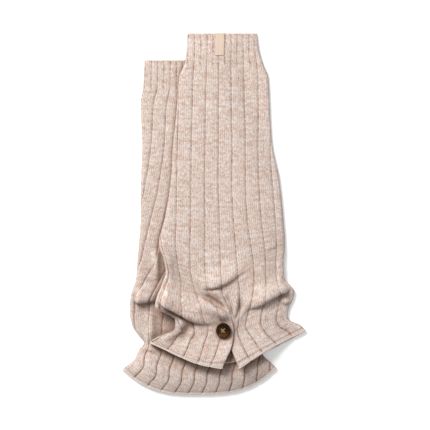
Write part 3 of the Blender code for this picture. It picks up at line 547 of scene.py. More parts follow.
class UpperTube(Tube):
    def inward(self, row, side):
        near = "inner_" + side
        return unit(row[near + "_x"] - row[side + "_x"], row[near + "_y"] - row[side + "_y"])

    def front_plan(self, row, rib, side):
        on_right = np.where(side == 0, rib > 0, side > 0)
        lap = np.where(on_right, column(SLIT_ROWS, "lap", row["along"]), 0)
        freed = ease((row["along"] - SLIT_TOP) / SLIT_FREES)
        middle = [np.full(len(rib), knot) for knot in (-2.0, 0.0, 2.0)]
        knots = np.array([row["front_start"], *middle, row["front_end"]]).T
        names = ("left_in_", "inner_left_", "slit_", "inner_right_", "right_in_")
        places = []
        for axis, shift in (("x", lap), ("y", 0 * lap)):
            values = np.array([row[name + axis] for name in names]).T
            values[:, 2] -= shift
            slopes = through_slopes(knots, values)
            rise = np.diff(values, axis=1) / np.diff(knots, axis=1)
            own = np.where(on_right, rise[:, 2], rise[:, 1])
            slopes[:, 2] += freed * (own - slopes[:, 2])
            places.append(cubic(knots, values, slopes, rib))
        return places

    def height(self, row, rib, side):
        on_left = np.where(side == 0, rib <= 0, side < 0)
        lift = column(SLIT_ROWS, "lift", row["along"]) * (1 - ease(-rib / LIFT_REACH))
        kick = ease((row["along"] - KICKS_FROM) / (UPPER_HEM - KICKS_FROM))
        on_right = ease((rib - KICK_FALLS_FROM) / KICK_FALLS_OVER)
        kick *= KICK * ease(self.from_side(row, rib) / KICK_REACH) * (1 - (1 - RIGHT_KICK) * on_right)
        return super().height(row, rib, side) + np.where(on_left, lift, 0) + kick

    def gathered(self, x, y):
        to_x, to_y = GATHER[0] - x, GATHER[1] - y
        pull = GATHER_PULL * np.exp(-(to_x**2 + to_y**2) / GATHER_REACH**2)
        return x + pull * to_x, y + pull * to_y

    def back(self, row, share):
        grown = (row["along"] - BACK_SAGS_FROM) / (UPPER_HEM - BACK_SAGS_FROM)
        return self.sagging(row, share, BACK_HEM_SAG * np.clip(grown, 0, 1), BACK_SAG_FULLNESS)


def rib_relief(rib, along):
    """How far the knit stands out of its grooves: wide ribs, or two fine ones in the same width."""
    wide = RIB_RISE * hump(np.mod(rib, 1), RIB_FULLNESS)
    fine = FINE_RISE * hump(np.mod(2 * rib, 1), FINE_FULLNESS)
    return fine + (wide - fine) * ease(along / RIBS_WIDEN_OVER)


def skin(tube, rib, along, side):
    """Points of a tube's outer surface in the grooves, its normals, and the ribs' rise there."""
    points, part, around = tube.base(rib, along, side)
    after, before = np.where(side < 0, 0, STEP_RIB), np.where(side > 0, 0, STEP_RIB)
    across = tube.base(rib + after, along, side)[0] - tube.base(rib - before, along, side)[0]
    down = tube.base(rib, along + STEP_ALONG, side)[0] - tube.base(rib, along - STEP_ALONG, side)[0]
    normals = np.cross(down, across, axis=0)
    normals /= np.linalg.norm(normals, axis=0)
    normals = np.where(part == SIDE, around, normals)
    shares = [np.ones(len(rib)), np.clip(normals[2], 0, 1), np.zeros(len(rib))]
    return points, normals, rib_relief(rib, along) * np.choose(part, shares)


# --- What the upper leg warmer lies on


class Ground:
    """The floor and whatever lies on it, as heights over a grid, wrapped as a soft cloth would."""

    CELL = 2.0
    LOW = (-140.0, -250.0)  # the grid's low corner
    COUNT = (140, 250)  # its cells each way
    RIB_STEP = 0.11  # how many ribs apart the points that fill it are

    def __init__(self, points, drape):
        grid = np.zeros(self.COUNT)
        cells = [((p - low) / self.CELL + 0.5).astype(int) for p, low in zip(points[:2], self.LOW)]
        np.maximum.at(grid, tuple(cells), points[2])
        # the drape, and then once more by a single cell, which smooths it
        for reach in (int(round(drape / self.CELL)), 1):
            grid = self.spread(grid, reach, np.max)
            grid = self.spread(grid, reach, np.mean)
        self.grid = grid

    @staticmethod
    def spread(grid, reach, how):
        for axis in (0, 1):
            rolled = [np.roll(grid, shift, axis) for shift in range(-reach, reach + 1)]
            grid = how(rolled, axis=0)
        return grid

    def __call__(self, x, y):
        axes = zip((x, y), self.LOW, self.COUNT)
        u, v = [np.clip((p - low) / self.CELL, 0, count - 1.001) for p, low, count in axes]
        i, j = u.astype(int), v.astype(int)
        u, v = u - i, v - j
        grid = self.grid
        low = grid[i, j] * (1 - u) + grid[i + 1, j] * u
        high = grid[i, j + 1] * (1 - u) + grid[i + 1, j + 1] * u
        height = low * (1 - v) + high * v
        return height + REST_GAP * ease(height / REST_GAP_FROM)


def floor(x, y):
    return np.zeros(len(x))


def grid_of(first, second):
    """Every pair of two lists, as two flat arrays: the first list runs fastest."""
    return [a.ravel() for a in np.meshgrid(first, second)]


def outer_points(tube, start, end):
    """Outer points of a stretch of tube, closer together than a cell of the ground."""
    ribs = np.arange(0, RIBS_AROUND, Ground.RIB_STEP)
    rib, along = grid_of(ribs, np.arange(start, end + 1, Ground.CELL))
    points, normals, rise = skin(tube, rib, along, np.zeros(len(rib)))
    return points + rise * normals


# --- Meshes

# Where a rib's vertices are across it: on a leg, on a cuff, and on the inner side of either
ACROSS_RIB = (0, 0.03, 0.07, 0.13, 0.22, 0.34, 0.5, 0.66, 0.78, 0.87, 0.93, 0.97)
ACROSS_FINE = tuple(half + s / 2 for half in (0, 0.5) for s in (0, 0.08, 0.2, 0.5, 0.8, 0.92))
ACROSS_INSIDE = (0, 0.25, 0.5, 0.75)
ROW_STEP, INSIDE_STEP = 1.6, 3.5  # from one row of them to the next, on the outer side and the inner
RIM_ANGLE = 80  # a shell's rim meets its sides at about 90 degrees, and its grooves stay rounded


class Cloth:
    """Vertices and faces of one knit piece, with each corner's place in the knit in stitches."""

    def __init__(self):
        self.points, self.faces, self.places = [], [], []
        self.count = 0

    def side(self, tube, alongs, stops, slit, depth):
        """One side of the wall: the outer one, or `depth` below its grooves. Returns its vertices."""
        ribs = np.array([k + s for k in range(RIBS_AROUND) for s in stops] + [RIBS_AROUND], float)
        rib, along = grid_of(ribs, alongs)
        opened = along > slit
        side = np.where(opened & (rib == 0), 1, np.where(opened & (rib == RIBS_AROUND), -1, 0))
        points, normals, rise = skin(tube, rib, along, side)
        points = points + (rise if depth == 0 else -depth) * normals
        shape = len(alongs), len(ribs)
        index = self.count + np.arange(rib.size).reshape(shape)
        self.points.append(points.T)
        self.count += rib.size
        index[:, -1] = np.where(np.array(alongs) > slit, index[:, -1], index[:, 0])
        places = np.stack([rib * WALES, along / COURSE], axis=-1).reshape(*shape, 2)
        corners, kept = corners_of(index), corners_of(places)
        if depth:
            corners, kept = corners[::-1], kept[::-1]
        self.faces += np.stack(corners, axis=-1).reshape(-1, 4).tolist()
        self.places += np.stack(kept, axis=-2).reshape(-1, 2).tolist()
        return index, places

    def rim(self, first, second):
        """Triangles between two lines of (vertex, place)."""
        i = j = 0
        while i < len(first) - 1 or j < len(second) - 1:
            ends_first, ends_second = i == len(first) - 1, j == len(second) - 1
            share_first = (i + 1) / (len(first) - 1)
            share_second = (j + 1) / (len(second) - 1)
            if ends_second or (not ends_first and share_first <= share_second):
                corners = first[i], first[i + 1], second[j]
                i += 1
            else:
                corners = first[i], second[j + 1], second[j]
                j += 1
            if len({c[0] for c in corners}) == 3:
                self.faces.append([c[0] for c in corners])
                self.places += [list(c[1]) for c in corners]

    def finish(self, name, material):
        data = mesh_of(name, np.concatenate(self.points), self.faces)
        layer = data.uv_layers.new(name="stitches")
        layer.data.foreach_set("uv", np.array(self.places, np.float32).ravel())
        return in_scene(name, data, material)


def corners_of(grid):
    """The four corners of a grid's cells, in turn."""
    return [grid[:-1, :-1], grid[1:, :-1], grid[1:, 1:], grid[:-1, 1:]]


def mesh_of(name, points, faces):
    """A mesh, in metres round the origin, from points in the tables' millimetres."""
    data = bpy.data.meshes.new(name)
    data.from_pydata(((points - MIDDLE) * MM).tolist(), [], faces)
    return data


def in_scene(name, data, material=None):
    """An object in the scene; a mesh comes with its material and is shaded smooth."""
    if material:
        data.materials.append(material)
        data.shade_smooth()
    piece = bpy.data.objects.new(name, data)
    bpy.context.scene.collection.objects.link(piece)
    return piece


def clean(piece):
    """Drops vertices that no face uses and turns all faces outwards."""
    mesh = bmesh.new()
    mesh.from_mesh(piece.data)
    loose = [v for v in mesh.verts if not v.link_faces]
    bmesh.ops.delete(mesh, geom=loose, context="VERTS")
    bmesh.ops.recalc_face_normals(mesh, faces=mesh.faces)
    mesh.to_mesh(piece.data)
    mesh.free()
    return piece


def rows_between(start, end, step, stop):
    """Evenly spaced rows from start to end, with one exactly at a stop that is between them."""
    marks = [start, stop, end] if start < stop < end else [start, end]
    rows = []
    for a, b in zip(marks, marks[1:]):
        rows += list(np.linspace(a, b, max(2, round((b - a) / step) + 1))[:-1])
    return [*rows, end]


def knit_piece(name, tube, start, end, across, material, slit=np.inf):
    """A stretch of tube as a closed shell: its outer side, its inner side and its rims."""
    cloth = Cloth()
    layers = []
    for depth, stops, step in ((0.0, across, ROW_STEP), (WALL, ACROSS_INSIDE, INSIDE_STEP)):
        rows = rows_between(start, end, step, slit)
        layers.append((rows, *cloth.side(tube, rows, stops, slit, depth)))
    for row in (0, -1):
        lines = [list(zip(index[row], places[row])) for _, index, places in layers]
        cloth.rim(*lines)
    if slit < end:
        for edge in (0, -1):
            lines = []
            for rows, index, places in layers:
                first = int(np.sum(np.array(rows) <= slit)) - 1
                lines.append(list(zip(index[first:, edge], places[first:, edge])))
            cloth.rim(*lines)
    piece = clean(cloth.finish(name, material))
    piece.data.set_sharp_from_angle(angle=np.radians(RIM_ANGLE))
    return piece


def strand_along(name, path, radii, material, hem_groove_shade=True):
    """A round strand through points, with one radius or its own radius at each."""
    ahead = np.roll(path, -1, 0) - np.roll(path, 1, 0)
    if not hem_groove_shade:
        ahead[0], ahead[-1] = path[1] - path[0], path[-1] - path[-2]
    ahead /= np.linalg.norm(ahead, axis=1)[:, None]
    across = np.cross(ahead, (0.05, 0.03, 1.0))  # nearly upright, but never along the strand
    across /= np.linalg.norm(across, axis=1)[:, None]
    over = np.cross(across, ahead)
    radii = np.broadcast_to(radii, len(path))[:, None]
    sides = STRAND_SIDES
    turns = 2 * np.pi * np.arange(sides) / sides
    rings = [path + radii * (across * np.cos(t) + over * np.sin(t)) for t in turns]
    points = np.stack(rings, axis=1).reshape(-1, 3)
    count = len(path)
    faces = []
    for i in range(count if hem_groove_shade else count - 1):
        a, b = i * sides, (i + 1) % count * sides
        faces += [(a + k, b + k, b + (k + 1) % sides, a + (k + 1) % sides) for k in range(sides)]
    if not hem_groove_shade:
        faces += [tuple(range(sides))[::-1], tuple((count - 1) * sides + k for k in range(sides))]
    return clean(in_scene(name, mesh_of(name, points, faces), material))


# --- Materials


def linear(red, green, blue):
    """A colour from the photograph's 0 to 255 values."""
    shares = np.array([red, green, blue]) / 255
    return (*np.where(shares <= 0.04045, shares / 12.92, ((shares + 0.055) / 1.055) ** 2.4), 1)


PALE_YARN = linear(225, 216, 211)
TAN_YARN = linear(196, 167, 150)
# painted shade: the dark brown laid between stitches, on rib flanks and down the purl columns
GROOVE_SHADE = linear(132, 94, 72)
# painted shade: the warm dark brown that tight hollows are turned towards
HOLLOW_SHADE = linear(124, 82, 55)
TAPE = linear(194, 178, 161)
HEM_SHADE_FROM, HEM_SHADE_FULL_BY = 75, 25  # how far above a hem's tacked row the painted shade in its grooves starts, and where it is full
FLANK_SHADE_GROWS = 8  # how many times its own the painted shade on a rib's flanks grows by, for a full share of the hem's painted shade


class Shader:
    """A material's nodes, added one by one and joined as they are made."""

    def __init__(self, name):
        self.material = bpy.data.materials.new(name)
        self.material.use_nodes = True
        self.tree = self.material.node_tree
        self.surface = self.tree.nodes["Principled BSDF"]

    def add(self, kind, **inputs):
        node = self.tree.nodes.new(kind)
        for name, value in inputs.items():
            self.put(node, name.replace("_", " "), value)
        return node

    def put(self, node, socket, value):
        if isinstance(value, bpy.types.NodeSocket):
            self.tree.links.new(value, node.inputs[socket])
        else:
            node.inputs[socket].default_value = value

    def math(self, operation, *values, clamp=False):
        node = self.tree.nodes.new("ShaderNodeMath")
        node.operation, node.use_clamp = operation, clamp
        for i, value in enumerate(values):
            self.put(node, i, value)
        return node.outputs[0]

    def times(self, value, by):
        return self.math("MULTIPLY", value, by)

    def scaled(self, value, by, plus):
        return self.math("MULTIPLY_ADD", value, by, plus)

    def counted(self, value, by):
        """A whole number, which goes up by one each time that `by` times the value does."""
        return self.math("FLOOR", self.times(value, by))

    def split(self, vector):
        """A vector's x and y."""
        return self.add("ShaderNodeSeparateXYZ", Vector=vector).outputs[:2]

    def place(self):
        """Where a point is on its own piece, in metres."""
        return self.tree.nodes.new("ShaderNodeTexCoord").outputs["Object"]

    def smooth(self, value, low, high):
        """0 below low, 1 above high and a smooth step between; falling if low is the larger."""
        node = self.add("ShaderNodeMapRange", From_Min=low, From_Max=high)
        node.interpolation_type = "SMOOTHSTEP"
        self.put(node, "Value", value)
        return node.outputs["Result"]

    def rounded(self, value, fullness):
        """1 at 0, falling round to 0 at -1 and 1."""
        return self.math("SUBTRACT", 1.0, self.math("POWER", self.math("ABSOLUTE", value), fullness))

    def vector(self, x, y, z=0.0):
        node = self.add("ShaderNodeCombineXYZ", X=x, Y=y, Z=z)
        return node.outputs[0]

    def noise(self, vector, scale, detail=2.0, rough=0.5):
        node = self.add("ShaderNodeTexNoise", Vector=vector, Scale=scale, Detail=detail, Roughness=rough)
        return node.outputs[0]

    def white(self, vector):
        node = self.add("ShaderNodeTexWhiteNoise", Vector=vector)
        return node.outputs["Value"]

    def mix(self, factor, first, second):
        node = self.tree.nodes.new("ShaderNodeMix")
        node.data_type = "RGBA"
        for socket, value in ((0, factor), (6, first), (7, second)):
            self.put(node, socket, value)
        return node.outputs[2]

    def with_hollow_shade(self, colour):
        """The colour, turned towards a warm dark brown where ambient occlusion finds tight hollows:
        painted shade.
        """
        hollow = self.add("ShaderNodeAmbientOcclusion", Distance=0.05)
        hollow.samples = 6
        shade_share = self.smooth(hollow.outputs["AO"], 0.92, 0.48)
        return self.mix(self.times(shade_share, 0.7), colour, HOLLOW_SHADE)

    def bump(self, height, distance, strength=1.0):
        node = self.add("ShaderNodeBump", Height=height, Distance=distance, Strength=strength)
        return node.outputs[0]

    def finish(self, colour, roughness, normal, **constants):
        self.put(self.surface, "Base Color", colour)
        self.put(self.surface, "Roughness", roughness)
        self.put(self.surface, "Normal", normal)
        for name, value in constants.items():
            self.surface.inputs[name.replace("_", " ")].default_value = value
        return self.material


def knit_material(name, grooves, tacked=None, hem_groove_shade=0.0):
    """Heathered stocking stitch with `grooves` purl columns in a wide rib's width.

    A leg's hem is turned up and held by a row of stitches `tacked` mm along it. Towards the hem its
    purl columns and rib flanks get a painted shade, by the share that the last argument gives.
    """
    s = Shader(name)
    uv = s.tree.nodes.new("ShaderNodeUVMap")
    uv.uv_map = "stitches"
    wale, course = s.split(uv.outputs[0])
    # one stitch: two slanting legs, each round across and along
    aside = s.math("ABSOLUTE", s.math("SUBTRACT", s.math("FRACT", wale), 0.5))
    leg = s.rounded(s.scaled(aside, 4.0, -1.0), 2.0)
    slanted = s.math("FRACT", s.scaled(aside, 1.3, course))
    length = s.rounded(s.scaled(slanted, 2.0, -1.0), 3.0)
    stitch = s.times(s.math("POWER", leg, 0.6), s.math("POWER", length, 0.6))
    # the purl columns, which close up unevenly and gape at single rows
    nearest = s.math("PINGPONG", wale, WALES / grooves / 2)
    which = s.math("ROUND", s.times(wale, grooves / WALES))
    openness = s.noise(s.vector(which, s.times(course, 0.16)), 1.0, 1.0)
    groove = s.smooth(nearest, s.scaled(openness, 0.9, -0.02), 0.02)
    holes = s.smooth(s.white(s.vector(which, s.counted(course, 0.7), 1.0)), 0.45, 0.95)
    # heather: the yarn's tan stretches run along the rows, and single stitches differ
    row = s.counted(course, 0.6)
    shifted = s.scaled(s.white(s.vector(row, which)), 7.0, s.times(wale, 0.1))
    runs = s.smooth(s.noise(s.vector(shifted, s.times(row, 0.7)), 1.0, 0.0), 0.44, 0.6)
    broad = s.vector(s.times(wale, 0.05), s.times(course, 0.35), which)
    patches = s.smooth(s.noise(broad, 1.0, 0.0), 0.42, 0.62)
    leg_cell = s.vector(s.counted(wale, 2.0), s.math("FLOOR", course))
    column_cell = s.vector(s.math("FLOOR", wale), s.counted(course, 0.3), 9.0)
    single = s.scaled(s.white(leg_cell), 0.75, s.times(s.white(column_cell), 0.1))
    longer = s.scaled(runs, 0.26, s.times(patches, 0.14))
    tan = s.math("ADD", s.math("SUBTRACT", single, 0.1), longer, clamp=True)
    colour = s.mix(tan, PALE_YARN, TAN_YARN)
    # painted shade between the columns of stitches and between the stitches, uneven from column to
    # column, and deepest down the purl columns
    hair = s.white(s.vector(s.math("ROUND", wale), s.counted(course, 0.8), 6.0))
    between = s.times(s.smooth(stitch, 0.55, 0.0), 0.42)
    between = s.scaled(s.smooth(aside, 0.2, 0.5), s.times(hair, 0.5), between)
    colour = s.mix(between, colour, GROOVE_SHADE)
    # painted shade on the ribs' flanks, and down the purl columns where they gape
    flank = s.times(s.smooth(nearest, 1.1, 0.2), 0.05)
    shade = s.scaled(holes, 0.6, 0.14)
    if tacked is not None:
        # painted shade in the grooves and on the flanks, growing towards the hem
        near_hem = s.smooth(course, *[(tacked - up) / COURSE for up in (HEM_SHADE_FROM, HEM_SHADE_FULL_BY)])
        shade = s.math("MULTIPLY_ADD", near_hem, hem_groove_shade, shade, clamp=True)
        flank = s.times(flank, s.scaled(near_hem, FLANK_SHADE_GROWS * hem_groove_shade, 1.0))
    deep = s.scaled(groove, shade, flank)
    if tacked is not None:
        # just under the seam, the cuff's middle purl column still runs on into each wide rib, with the
        # same painted shade
        halved = s.smooth(s.math("PINGPONG", wale, WALES / 4), 0.6, 0.1)
        under_seam = s.times(s.smooth(course, 3.2, 0.4), 0.5)
        deep = s.math("MAXIMUM", deep, s.times(halved, under_seam))
        # the hem is paler past its row of stitches, and each of those is a dark dot
        past_tack = s.math("SUBTRACT", course, tacked / COURSE)
        colour = s.mix(s.times(s.smooth(past_tack, 0.0, 0.6), 0.2), colour, PALE_YARN)
        dots = s.smooth(s.math("PINGPONG", wale, 0.5), 0.1, 0.4)
        tack = s.times(s.smooth(s.math("ABSOLUTE", past_tack), 0.9, 0.35), dots)
        deep = s.math("MAXIMUM", deep, s.times(tack, 0.7))
    # painted shade: grooves, gaps and flanks turned dark brown, and tight hollows turned warm brown
    colour = s.with_hollow_shade(s.mix(deep, colour, GROOVE_SHADE))
    relief = s.scaled(s.noise(uv.outputs[0], 9.0, 3.0, 0.7), 0.35, stitch)
    relief = s.scaled(deep, -0.8, relief)
    return s.finish(
        colour,
        0.92,
        s.bump(relief, 0.0007, 0.8),
        Sheen_Weight=0.12,
        Sheen_Roughness=0.6,
        Specular_IOR_Level=0.15,
    )


def edge_material():
    """The bound-off rims: tightly chained, and paler than the knit."""
    s = Shader("bound_off_yarn")
    place = s.place()
    fine = s.noise(place, 900.0, 3.0)
    tan = s.times(s.smooth(s.noise(place, 160.0, 2.0), 0.4, 0.7), 0.4)
    # painted shade: tight hollows turned warm brown
    colour = s.with_hollow_shade(s.mix(tan, linear(214, 199, 187), TAN_YARN))
    return s.finish(colour, 0.9, s.bump(fine, 0.0004, 0.6), Sheen_Weight=0.25, Specular_IOR_Level=0.15)


def tape_material():
    """Plain satin tape: fine threads across, and a faint weave."""
    s = Shader("satin_tape")
    place = s.place()
    x, y = s.split(place)
    threads = s.math("SINE", s.times(y, 2 * np.pi / 0.0009))
    cross = s.math("SINE", s.times(x, 2 * np.pi / 0.0006))
    weave = s.scaled(cross, 0.4, threads)
    uneven = s.smooth(s.noise(place, 240.0, 2.0), 0.3, 0.7)
    colour = s.mix(s.times(uneven, 0.6), TAPE, linear(194, 168, 148))
    return s.finish(colour, 0.65, s.bump(weave, 0.00012, 0.6), Specular_IOR_Level=0.2)


def horn_material():
    """Polished horn look: very dark brown with amber streaks to one side."""
    s = Shader("dark_horn")
    place = s.place()
    x, y = s.split(place)
    swirl = s.noise(place, 130.0, 3.0, 0.6)
    streaks = s.noise(s.vector(s.times(x, 5.0), y), 180.0, 3.0)
    side = s.smooth(s.scaled(x, -0.5, s.times(y, -1.0)), -0.012, 0.012)
    amber = s.times(side, s.smooth(s.scaled(swirl, 0.6, streaks), 0.6, 0.95))
    colour = s.mix(amber, linear(22, 9, 1), linear(84, 52, 18))
    return s.finish(colour, 0.42, s.bump(swirl, 0.0002, 0.15), Specular_IOR_Level=0.07)


def thread_material():
    s = Shader("sewing_thread")
    twist = s.noise(s.place(), 2500.0, 2.0)
    colour = s.mix(twist, linear(102, 78, 44), linear(150, 122, 80))
    return s.finish(colour, 0.7, s.bump(twist, 0.0002, 0.5), Sheen_Weight=0.2)


# --- Small pieces


def label_piece(tube, material):
    """The woven tab: it lies on the cuff's ribs and turns down over the cuff's top edge."""
    row = tube.row(np.array([-UPPER_CUFF]))
    two_ribs = (row["inner_right_x"] - row["slit_x"])[0]
    half = LABEL_WIDTH / two_ribs
    ribs = np.linspace(LABEL_RIB - half, LABEL_RIB + half, LABEL_COLUMNS)
    low, high = [], []
    for along in np.linspace(LABEL_FRONT - UPPER_CUFF, -UPPER_CUFF, LABEL_ROWS):
        points, normals, rise = skin(tube, ribs, np.full(len(ribs), along), np.zeros(len(ribs)))
        # the tape spans the grooves and only follows the ribs a little
        under = FINE_RISE + LABEL_CLEAR + LABEL_FOLLOWS * (rise - FINE_RISE)
        low.append((points + under * normals).T)
        high.append((points + (under + LABEL_THICK) * normals).T)
    middle = (low[-1] + high[-1]) / 2 - [0, 0, (LABEL_HOOK + LABEL_THICK) / 4]
    for rows, out in ((low, LABEL_STANDS - LABEL_THICK), (high, LABEL_STANDS)):
        reach = rows[-1][:, 2] - middle[:, 2]
        for turn in np.linspace(0, np.pi / 2, LABEL_TURN_ROWS)[1:]:
            ahead = np.full(len(ribs), out * np.sin(turn))
            rows.append(middle + np.column_stack([0 * reach, ahead, reach * np.cos(turn)]))
        rows.append(rows[-1] - [0, 0, LABEL_HOOK / 2])
    points = np.concatenate(low + high)
    size = len(points) // 2
    index = np.arange(size).reshape(len(low), len(ribs))
    quads = np.stack(corners_of(index), axis=-1).reshape(-1, 4)
    ring = np.concatenate([index[:, 0], index[-1, 1:], index[-2::-1, -1], index[0, -2:0:-1]])
    after = np.roll(ring, -1)
    rims = np.column_stack([ring, after, after + size, ring + size])
    faces = np.concatenate([quads, quads[:, ::-1] + size, rims]).tolist()
    return clean(in_scene("upper_label_tape", mesh_of("upper_label_tape", points, faces), material))


def button_pieces(tube, horn, thread):
    """A turned four-hole button that leans on the folds, and the thread through its holes."""
    axis = np.array([*BUTTON_LEAN, 1])
    axis /= np.linalg.norm(axis)
    seat = (button_seat(tube, axis) - MIDDLE) * MM
    turned = Vector((0, 0, 1)).rotation_difference(Vector(axis))
    rim = BUTTON_WIDTH / 2
    mesh = bmesh.new()
    rings = [circle(mesh, (0, 0), rim - inward, height, BUTTON_SIDES) for inward, height in BUTTON_CUT]
    for ring, next_ring in zip(rings, rings[1:]):
        join(mesh, ring, next_ring)
    back, dished = [rings[0]], [rings[-1]]
    reach = BUTTON_HOLE_SPACING / 2**0.5
    turns = BUTTON_TURN + np.pi / 2 * np.arange(4)
    holes = reach * np.column_stack([np.cos(turns), np.sin(turns)])
    for middle in holes:
        ends = [circle(mesh, middle, BUTTON_HOLE / 2, z, HOLE_SIDES) for z in (0, BUTTON_DISH)]
        join(mesh, *ends)
        back.append(ends[0])
        dished.append(ends[1])
    for loops in (back, dished):
        edges = [mesh.edges.get((a, b)) for loop in loops for a, b in zip(loop, loop[1:] + loop[:1])]
        bmesh.ops.triangle_fill(mesh, edges=edges, use_beauty=True)
    bmesh.ops.recalc_face_normals(mesh, faces=mesh.faces)
    data = bpy.data.meshes.new("upper_button_horn")
    mesh.to_mesh(data)
    mesh.free()
    button = in_scene("upper_button_horn", data, horn)
    data.set_sharp_from_angle(angle=np.radians(BUTTON_SHARP_ANGLE))
    strands = []
    shares = np.linspace(-THREAD_PAST, 1 + THREAD_PAST, THREAD_POINTS)
    rise = BUTTON_DISH + THREAD_CLEAR + THREAD_ARCH * np.sin(np.pi * np.clip(shares, 0, 1))
    rise -= THREAD_SINKS * (np.abs(2 * shares - 1) > 1)
    for number in (0, 1):
        start, span = holes[number], holes[number + 2] - holes[number]
        aside = THREAD_SPACING * np.array([-span[1], span[0]]) / np.linalg.norm(span)
        for k in (-1, 0, 1):
            path = start + shares[:, None] * span + k * aside
            path = np.column_stack([path, rise + number * THREAD_CROSSES]) + MIDDLE
            name = f"button_thread_{number}{k + 1}"
            strands.append(strand_along(name, path, THREAD_RADIUS, thread, hem_groove_shade=False))
    for piece in (button, *strands):
        piece.rotation_mode = "QUATERNION"
        piece.rotation_quaternion = turned
        piece.location = seat
    return button, strands


def circle(mesh, middle, radius, height, sides):
    """A level ring of vertices."""
    turns = 2 * np.pi * np.arange(sides) / sides
    points = [(middle[0] + radius * np.cos(t), middle[1] + radius * np.sin(t), height) for t in turns]
    return [mesh.verts.new(np.array(point) * MM) for point in points]


def join(mesh, ring, next_ring):
    for i in range(len(ring)):
        k = (i + 1) % len(ring)
        mesh.faces.new((ring[i], ring[k], next_ring[k], next_ring[i]))


def button_seat(tube, axis):
    """The middle of the button's back: along its axis, just clear of the knit under it."""
    ribs = np.arange(2 * BUTTON_RIB, 0, 0.05)
    rib, along = grid_of(ribs, np.arange(BUTTON_ALONG - BUTTON_WIDTH, BUTTON_ALONG + BUTTON_WIDTH))
    points, normals, rise = skin(tube, rib, along, np.full(len(rib), -1.0))
    knit = (points + rise * normals).T
    middle = skin(tube, *[np.array([v]) for v in (BUTTON_RIB, BUTTON_ALONG, -1.0)])[0][:, 0]
    away = knit - middle
    up = away @ axis
    near = np.linalg.norm(away - up[:, None] * axis, axis=1) < BUTTON_WIDTH / 2
    return middle + (up[near].max() + SEAM_GAP) * axis


def bound_edge(name, tube, along, material, radius, slit=False):
    """The chained rim of a cuff or a hem: one swelling for each column of stitches."""
    per_wale = 5
    count = RIBS_AROUND * WALES * per_wale
    ribs = np.arange(count + int(slit)) / (WALES * per_wale)
    side = np.zeros(len(ribs))
    if slit:
        side[0], side[-1] = 1, -1
    outward = np.sign(along) * RIM_SCALLOP * rib_relief(ribs, np.full(len(ribs), along))
    points, normals, rise = skin(tube, ribs, along + outward, side)
    path = (points + (RIM_ON_RIB * rise - RIM_IN_WALL * WALL) * normals).T
    swelling = radius * (1 + RIM_SWELLS * np.cos(2 * np.pi * ribs * WALES))
    path[:, 2] = np.maximum(path[:, 2], swelling)
    return strand_along(name, path, swelling, material, hem_groove_shade=not slit)


# --- The set


def camera():
    data = bpy.data.cameras.new("camera")
    data.sensor_width = SENSOR
    data.lens = SENSOR * CAMERA_HEIGHT / FRAME_WIDTH
    data.clip_start, data.clip_end = 0.5, 20
    seen = in_scene("camera", data)
    seen.location = (VIEW_MIDDLE[0] * MM, VIEW_MIDDLE[1] * MM, CAMERA_HEIGHT * MM)
    bpy.context.scene.camera = seen


def lights():
    """A soft key from the upper left, and an even white surround."""
    data = bpy.data.lights.new("key", "AREA")
    data.shape, data.size = "DISK", KEY_WIDTH
    data.energy = KEY_POWER
    key = in_scene("key", data)
    key.location = KEY_PLACE
    key.rotation_mode = "QUATERNION"
    key.rotation_quaternion = (-key.location).to_track_quat("-Z", "Y")
    world = bpy.data.worlds.new("world")
    world.use_nodes = True
    surround = world.node_tree.nodes["Background"].inputs
    surround["Color"].default_value = (1, 1, 1, 1)
    surround["Strength"].default_value = SURROUND
    bpy.context.scene.world = world
    bpy.context.scene.view_settings.view_transform = "Standard"


def floor_plane():
    bpy.ops.mesh.primitive_plane_add(size=FLOOR_WIDTH, location=(0, 0, -FLOOR_DEPTH))
    plane = bpy.context.object
    plane.name = "floor"
    s = Shader("floor_paper")
    grain = s.noise(s.place(), 60.0, 2.0)
    glow = {"Emission_Color": (1, 1, 1, 1), "Emission_Strength": FLOOR_GLOW}
    plane.data.materials.append(s.finish(FLOOR_WHITE, 0.95, s.bump(grain, 0.0001, 0.05), **glow))


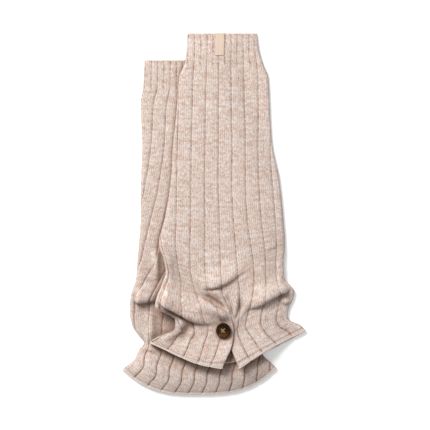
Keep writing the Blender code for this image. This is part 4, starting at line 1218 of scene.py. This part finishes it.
def main():
    bpy.ops.object.select_all(action="SELECT")
    bpy.ops.object.delete()
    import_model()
    camera()
    lights()
    floor_plane()
    under = UnderTube(UNDER_ROWS, UNDER_FOLDS, UNDER_CREASES, floor)
    ground = Ground(outer_points(under, -UNDER_CUFF, UNDER_HEM), DRAPE)
    upper = UpperTube(UPPER_ROWS, UPPER_FOLDS, UPPER_CREASES, ground)
    fine = knit_material("fine_rib_knit", 2)
    upper_wide = knit_material("upper_wide_rib_knit", 1, UPPER_HEM - UPPER_TACK, 0.25)
    under_wide = knit_material("under_wide_rib_knit", 1, UNDER_HEM - UNDER_TACK, 0.45)
    edge = edge_material()
    pieces = {
        "upper_leg": knit_piece(
            "upper_leg_knit", upper, 0, UPPER_HEM, ACROSS_RIB, upper_wide, slit=SLIT_TOP
        ),
        "under_leg": knit_piece("under_leg_knit", under, 0, UNDER_HEM, ACROSS_RIB, under_wide),
        "upper_cuff": knit_piece("upper_cuff_knit", upper, -UPPER_CUFF, 0, ACROSS_FINE, fine),
        "under_cuff": knit_piece("under_cuff_knit", under, -UNDER_CUFF, 0, ACROSS_FINE, fine),
    }
    rims = {
        "upper_leg": bound_edge("upper_hem_edge", upper, UPPER_HEM, edge, HEM_RIM, slit=True),
        "under_leg": bound_edge("under_hem_edge", under, UNDER_HEM, edge, HEM_RIM),
        "upper_cuff": bound_edge("upper_cuff_edge", upper, -UPPER_CUFF, edge, CUFF_RIM),
        "under_cuff": bound_edge("under_cuff_edge", under, -UNDER_CUFF, edge, CUFF_RIM),
    }
    label = label_piece(upper, tape_material())
    button, strands = button_pieces(upper, horn_material(), thread_material())
    for node, piece in pieces.items():
        for part in (piece, rims[node]):
            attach(part, "root")
        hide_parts(node)
    for piece, node, slot in ((label, "upper_label", "label"), (button, "upper_button", "button")):
        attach(piece, "root")
        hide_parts(node)
    for strand in strands:
        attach(strand, "root")
    carried = {node: [rims[node]] for node in pieces}
    carried["upper_leg"] += [button, *strands]
    carried["upper_cuff"].append(label)


main()
